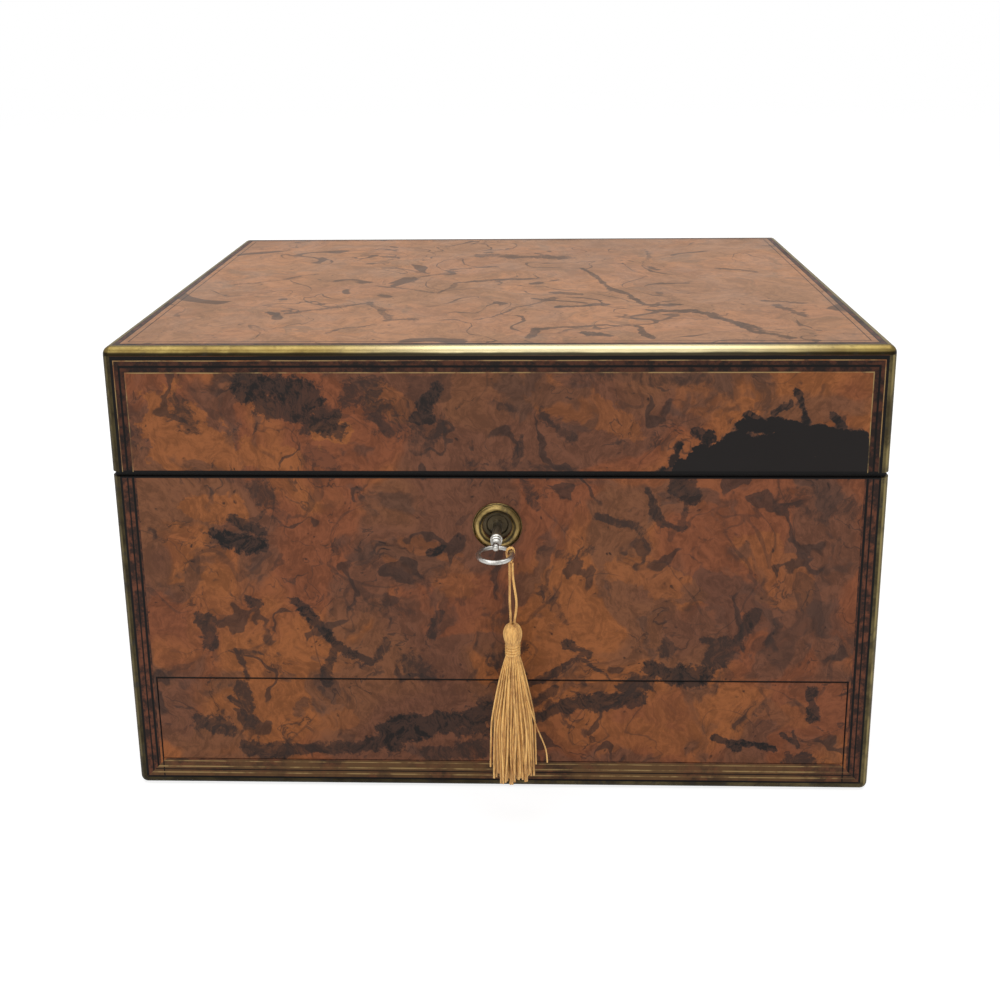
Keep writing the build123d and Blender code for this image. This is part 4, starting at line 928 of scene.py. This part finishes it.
def rosetteShape(place, tone):
    # rings round the keyhole: painted shade in the hollow round the nozzle and in the grooves between rubbed crests
    x, _, z = xyzInMm(place)
    flat = addNode("CombineXYZ")
    feedAll(flat.inputs, {0: x, 2: minus(z, boxSizes["lockHeight"])})
    ring = plus(vecCalc("LENGTH", flat.outputs[0], out=1), drift(place, 0.9, 300.0, 3))
    # painted shade: the central hollow and the two ring grooves are darkened
    dark = step(ring, 4.6, 5.4, 1.0, 0.0)
    for start, end in ((6.3, 7.5), (9.0, 9.9)):
        dark = most(dark, times(between(ring, start, start + 0.35, end - 0.35, end), 0.85))
    return blendTint(dark, tone, tint(34, 29, 23))


def agedMetal(name, bright, dull, dirt, roughness, grime, shape):
    material, shader, place = newMaterial(name)
    fine = noise(place, 900.0, 3, 0.6)
    tone = blendTint(step(noise(place, 60.0, 6, 0.65, 0.4), 0.38, 0.62), tint(*dull), tint(*bright))
    grimeMask = times(step(noise(place, 210.0, 5, 0.7), 0.52, 0.68), grime)
    tone = blendTint(grimeMask, tone, tint(*dirt))
    feedAll(shader, {
        "Base Color": shape(place, tone) if shape else tone,
        "Metallic": step(grimeMask, 0.0, 1.0, 1.0, 0.4),
        "Roughness": plus(times(fine, 0.16), step(grimeMask, 0.0, 1.0, roughness, 0.6)),
        "Normal": bump(fine, 0.1, 0.0001),
    })
    return material


metals = {  # bright, dull and dirt tints, roughness, grime, shape of the wear and of the painted light and shade, and the nodes that are made of it
    "darkEdgeBrass": (
        (104, 92, 62), (66, 58, 42), (34, 30, 25), 0.4, 0.8, cornerStripShape,
        ["case_corner_strips", "case_base_strips", "lid_corner_strips"],
    ),
    "agedEdgeBrassPaintedLight": ((156, 136, 80), (132, 112, 64), (92, 76, 44), 0.28, 0.35, topStripShape, ["lid_top_strips"]),
    "agedBrass": (
        (214, 182, 118), (150, 122, 72), (60, 48, 32), 0.25, 0.5, None,
        ["case_hinge_leaves", "lid_hinge_leaves", "hinge_pins", "case_screws", "lid_screws", "lock_case", "lock_bolt",
         "link_plate", "pin_guide", "drawer_pin"],
    ),
    "keySteel": ((218, 216, 210), (146, 143, 137), (60, 55, 50), 0.22, 0.5, None, ["key"]),
    "rosetteBrass": ((178, 152, 96), (118, 98, 60), (48, 40, 28), 0.3, 0.6, rosetteShape, ["escutcheon"]),
    "lockDark": ((84, 74, 56), (52, 46, 37), (26, 23, 19), 0.35, 0.6, None, ["lock_nozzle", "lock_plug"]),
    "silverPlate": (
        (226, 224, 218), (212, 208, 200), (150, 140, 124), 0.16, 0.12, None,
        ["jar_lid_1", "jar_lid_2", "jar_lid_3", "jar_lid_4", "oblong_lids"],
    ),
    "mirrorSilver": ((232, 234, 234), (228, 230, 230), (170, 164, 154), 0.02, 0.04, None, ["mirror"]),
}
for metalName, (*metalValues, metalNodes) in metals.items():
    dress(agedMetal(metalName, *metalValues), *metalNodes)
print("metals dressed")


def plainWood(name, light, dark, gloss=0.5):
    material, shader, place = newMaterial(name)
    grain = noise(vecCalc("MULTIPLY", place, (30.0, 420.0, 420.0)), 1.0, 4, 0.6, 0.3)
    feedAll(shader, {
        "Base Color": blendTint(step(grain, 0.3, 0.7), dark, light),
        "Roughness": 0.5,
        "Specular IOR Level": gloss,
        "Normal": bump(grain, 0.15, 0.0002),
    })
    return material


mahogany = plainWood("mahogany", tint(132, 76, 48), tint(84, 44, 28))
ebonised = plainWood("ebonisedFacing", tint(18, 15, 14), tint(9, 8, 8), 0.2)
dress(mahogany, "case_sides", "case_front_board", "case_back_board", "case_base", "dust_board", "lid_frame",
      "lid_top_board", "drawer_front", "drawer_sides", "drawer_bottom", "compartment_dividers", "tray_body")
dress(ebonised, "case_rim_facing", "lid_rim_facing")


def velvetMaterial(name, light, dark):
    material, shader, place = newMaterial(name)
    pile = noise(place, 1400.0, 3, 0.7)
    tone = plus(times(pile, 0.4), times(noise(place, 40.0, 4, 0.6, 0.6), 0.6))
    feedAll(shader, {
        "Base Color": blendTint(step(tone, 0.35, 0.65), dark, light),
        "Roughness": 0.9,
        "Sheen Weight": 0.8,
        "Sheen Roughness": 0.35,
        "Normal": bump(pile, 0.4, 0.0004),
    })
    return material


velvet = velvetMaterial("claretVelvet", tint(112, 24, 38), tint(66, 10, 20))
leather = velvetMaterial("baseLeather", tint(78, 44, 34), tint(46, 26, 20))


padSizes = {
    "softEdge": 2.6,  # rounding of the padded bars
    "wallEdge": 0.55,
    "groundEdge": 0.4,
    "wall": 1.2,
    "ground": 1.0,
    "gap": 0.05,
    "pull": 0.5,  # how far the sides come in between the corners
    "rumple": 0.14,
    "seed": 7,  # of the rumple, which is another one each run without it
}
mathutils.noise.seed_set(padSizes["seed"])


def roundStops(half, rounding, parts):
    inner = half - rounding
    edge = [-half, -half + 0.42 * rounding]
    flat = [-inner + 2 * inner * i / parts for i in range(parts + 1)] if inner > 0.01 else [0.0]
    return edge + flat + [-value for value in reversed(edge)]


def cushion(body, low, high, rounding, crown=(0, 0, 0), pull=0.0, rumple=0.0, parts=8, mitre=None):
    # closed and round-edged: the faces along crown swell, the sides pull in between the corners
    half = [(high[i] - low[i]) / 2 for i in range(3)]
    middle = [(high[i] + low[i]) / 2 for i in range(3)]
    rounding = min([rounding] + half)
    rows = [roundStops(value, rounding, parts if value > 12 else 3) for value in half]
    made = {}

    def point(place):
        key = tuple(round(value, 3) for value in place)
        if key in made:
            return made[key]
        core = [max(-(half[i] - rounding), min(half[i] - rounding, place[i])) for i in range(3)]
        away = Vector([place[i] - core[i] for i in range(3)]).normalized() * rounding
        spot = [core[i] + away[i] for i in range(3)]
        share = [spot[i] / half[i] for i in range(3)]
        for axis in range(3):
            first, second = [i for i in range(3) if i != axis]
            domes = [1 - share[i] ** 2 for i in (first, second)]
            if crown[axis] and share[axis] * crown[axis] > 0:
                spot[axis] += crown[axis] * (domes[0] * domes[1]) ** 0.7 * abs(share[axis])
            elif pull and not crown[axis]:
                spot[axis] -= pull * share[axis] * domes[0 if half[first] > half[second] else 1]
        if rumple:
            shift = mathutils.noise.noise_vector(Vector([spot[i] + middle[i] for i in range(3)]) * 0.11)
            for i in range(3):
                spot[i] -= abs(shift[i]) * rumple * (1 if share[i] > 0 else -1) * min(1, 2 * abs(share[i]))
        if mitre:
            axis, across, inner, side = mitre
            grow = (spot[across] * side + half[across]) / (2 * half[across])
            spot[axis] *= (inner + (half[axis] - inner) * grow) / half[axis]
        made[key] = body.verts.new([(spot[i] + middle[i]) * mm for i in range(3)])
        return made[key]

    for axis in range(3):
        first, second = [i for i in range(3) if i != axis]
        for sign in (-1, 1):
            for i, j in product(range(len(rows[first]) - 1), range(len(rows[second]) - 1)):
                corners = []
                for a, b in ((i, j), (i + 1, j), (i + 1, j + 1), (i, j + 1)):
                    place = [0, 0, 0]
                    place[axis], place[first], place[second] = sign * half[axis], rows[first][a], rows[second][b]
                    corner = point(place)
                    if corner not in corners:
                        corners.append(corner)
                if len(corners) > 2:
                    body.faces.new(corners)


def softPiece(name, body, material, rider, node=None):
    bmesh.ops.recalc_face_normals(body, faces=body.faces)
    mesh = bpy.data.meshes.new(name)
    body.to_mesh(mesh)
    body.free()
    for face in mesh.polygons:
        face.use_smooth = True
    mesh.materials.append(material)
    piece = addObject(name, mesh)
    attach(piece, rider)
    if node:
        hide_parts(node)
    return piece


def nodeBox(name):  # in mm
    return [[value / mm for value in corner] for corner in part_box(name)]


def frameOfPads(body, outer, inner, low, high, rounding, crown, **more):
    # four mitred strips round an opening; outer and inner are (x low, x high, y low, y high)
    gap = padSizes["gap"]
    for side, depth in ((-1, (outer[2], inner[2])), (1, (inner[3], outer[3]))):
        cushion(body, (outer[0] + gap, depth[0], low), (outer[1] - gap, depth[1], high), rounding, crown,
                mitre=(0, 1, inner[1] - (inner[1] + inner[0]) / 2 - gap, side), **more)
    for side, width in ((-1, (outer[0], inner[0])), (1, (inner[1], outer[1]))):
        cushion(body, (width[0], outer[2] + gap, low), (width[1], outer[3] - gap, high), rounding, crown,
                mitre=(1, 0, (inner[3] - inner[2]) / 2 - gap, side), **more)


def wallPads(body, low, high, thick):
    for side in (low, high):
        inward = thick if side is low else -thick
        x, y = side[0], side[1]
        left, right = min(x, x + inward), max(x, x + inward)
        front, back = min(y, y + inward), max(y, y + inward)
        cushion(body, (left, low[1] + thick, low[2]), (right, high[1] - thick, high[2]), padSizes["wallEdge"])
        cushion(body, (low[0], front, low[2]), (high[0], back, high[2]), padSizes["wallEdge"])


def groundPad(body, low, high, inset, thick, rounding):  # on the bottom, inset from the walls
    right, back = high[0] - inset, high[1] - inset
    cushion(body, (low[0] + inset, low[1] + inset, low[2]), (right, back, low[2] + thick), rounding)


pinHole = {"radius": 1.75, "depth": 10.0, "sides": 32}  # for the drawer's locking pin


def punchPinHole(ground, height):
    low, high = nodeBox("drawer_pin")
    place = ((low[0] + high[0]) / 2 * mm, (low[1] + high[1]) / 2 * mm, height * mm)
    deselect()
    bpy.ops.mesh.primitive_cylinder_add(
        vertices=pinHole["sides"], radius=pinHole["radius"] * mm, depth=pinHole["depth"] * mm, location=place,
    )
    punch = bpy.context.object
    deselect()
    ground.select_set(True)
    bpy.context.view_layer.objects.active = ground
    hole = ground.modifiers.new("hole", "BOOLEAN")
    hole.operation = "DIFFERENCE"
    hole.object = punch
    bpy.ops.object.modifier_apply(modifier="hole")
    bpy.data.objects.remove(punch)


def makeCaseVelvet():
    low, high = nodeBox("case_lining")
    body = bmesh.new()
    wallPads(body, low, high, padSizes["wall"])
    walls = softPiece("case_velvet_walls", body, velvet, "case", "case_lining")
    body = bmesh.new()
    groundPad(body, low, high, padSizes["wall"] + padSizes["gap"], padSizes["wall"], padSizes["wallEdge"])
    ground = softPiece("case_velvet_floor", body, velvet, "case")
    punchPinHole(ground, low[2])


lidPads = {"crown": 1.5, "depth": 4.0, "edge": 1.82, "pull": 0.2, "cardEdge": 0.3, "mirrorGap": 0.1}


def makeLidVelvet():
    low, high = nodeBox("lid_lining")
    mirrorLow, mirrorHigh = nodeBox("mirror")
    room = lidPads["mirrorGap"]
    opening = (mirrorLow[0] - room, mirrorHigh[0] + room, mirrorLow[1] - room, mirrorHigh[1] + room)
    body = bmesh.new()
    wallPads(body, low, (high[0], high[1], high[2] - lidPads["depth"] - padSizes["gap"]), padSizes["wall"])
    card = (*mirrorLow[:2], mirrorHigh[2]), (*mirrorHigh[:2], high[2])
    cushion(body, *card, lidPads["cardEdge"])
    walls = softPiece("lid_velvet_walls", body, velvet, "lid", "lid_lining")
    body = bmesh.new()
    frameOfPads(
        body, (low[0], high[0], low[1], high[1]), opening, high[2] - lidPads["depth"], high[2], lidPads["edge"],
        (0, 0, -lidPads["crown"]), pull=lidPads["pull"], rumple=padSizes["rumple"], parts=14,
    )
    pads = softPiece("lid_velvet_pads", body, velvet, "lid")


drawerPads = {
    "wall": 1.0, "divider": (-49.2, -47.2), "dividerHeight": 22.0, "dividerEdge": 0.9,
    "rolls": 6, "pitch": 7.98, "rollDepth": 7.9, "rollHeight": 8.0, "rollEdge": 3.9, "pull": 0.25,
}


def makeDrawerVelvet():
    d = drawerPads
    low, high = nodeBox("drawer_lining")
    ground = low[2] + padSizes["ground"]
    inset = d["wall"] + padSizes["gap"]
    left, right = d["divider"]
    body = bmesh.new()
    wallPads(body, low, high, d["wall"])
    groundPad(body, low, high, inset, padSizes["ground"], padSizes["groundEdge"])
    cushion(body, (left, low[1] + inset, ground), (right, high[1] - inset, low[2] + d["dividerHeight"]),
            d["dividerEdge"], parts=10)
    walls = softPiece("drawer_velvet_walls", body, velvet, "drawer", "drawer_lining")
    body = bmesh.new()
    for i in range(d["rolls"]):
        front = low[1] + 1.02 + i * d["pitch"]
        cushion(body, (low[0] + 1.1, front, ground), (left - 0.1, front + d["rollDepth"], ground + d["rollHeight"]),
                d["rollEdge"], pull=d["pull"], rumple=padSizes["rumple"], parts=12)
    rolls = softPiece("drawer_ring_rolls", body, velvet, "drawer")


trayPads = {
    "rim": 8.0, "crown": 0.5, "barFront": -52.4, "barBack": -48.4, "barEdge": 1.9,
    "finger": ((-4, -18.3), (4, 20.15)),  # the short bar between the two back wells
    "rolls": 4, "rollFront": -48.35, "pitch": 7.48, "rollDepth": 7.42, "rollLow": 120.2, "rollHeight": 7.5,
    "rollEdge": 3.7, "bedFront": -48.3, "bedBack": -18.45, "pull": 0.25,
}


def makeTrayVelvet():
    t = trayPads
    low, high = nodeBox("tray_lining")
    left, right = low[0] + t["rim"], high[0] - t["rim"]
    ground = low[2] + padSizes["ground"]
    top = high[2] - t["crown"]
    bars = {"crown": (0, 0, t["crown"]), "rumple": padSizes["rumple"], "parts": 12}
    body = bmesh.new()
    frameOfPads(body, (low[0], high[0], low[1], high[1]), (left, right, low[1] + t["rim"], high[1] - t["rim"]), ground,
                top, padSizes["softEdge"], **bars)
    cushion(body, (left + 0.05, t["barFront"], ground), (right - 0.05, t["barBack"], top - 1), t["barEdge"], **bars)
    cushion(body, (*t["finger"][0], ground), (*t["finger"][1], top - 1), padSizes["softEdge"], **bars)
    pads = softPiece("tray_velvet_pads", body, velvet, "tray", "tray_lining")
    body = bmesh.new()
    groundPad(body, low, high, 0.1, 0.98, padSizes["groundEdge"])
    cushion(body, (left + 0.1, t["bedFront"], ground), (right - 0.1, t["bedBack"], t["rollLow"]),
            padSizes["groundEdge"])
    bed = softPiece("tray_velvet_floor", body, velvet, "tray")
    body = bmesh.new()
    for i in range(t["rolls"]):
        front = t["rollFront"] + t["pitch"] * i
        back, crest = front + t["rollDepth"], t["rollLow"] + t["rollHeight"]
        cushion(body, (left + 0.15, front, t["rollLow"]), (right - 0.15, back, crest), t["rollEdge"],
                pull=t["pull"], rumple=padSizes["rumple"], parts=16)
    rolls = softPiece("tray_ring_rolls", body, velvet, "tray")


def makeBaseLeather():
    low, high = nodeBox("base_leather")
    body = bmesh.new()
    cushion(body, low, high, 0.65, parts=24)
    piece = softPiece("base_leather_sheet", body, leather, "case", "base_leather")


makeCaseVelvet()
makeLidVelvet()
makeDrawerVelvet()
makeTrayVelvet()
makeBaseLeather()
print("velvet and leather made")


def glassMaterial(name):
    material, shader, place = newMaterial(name)
    feedAll(shader, {
        "Base Color": tint(240, 248, 244),
        "Roughness": 0.02,
        "Transmission Weight": 1.0,
        "IOR": 1.5,
    })
    return material


dress(glassMaterial("clearGlass"), "jar_1", "jar_2", "jar_3", "jar_4", "oblong_jars")
print("all pieces dressed")
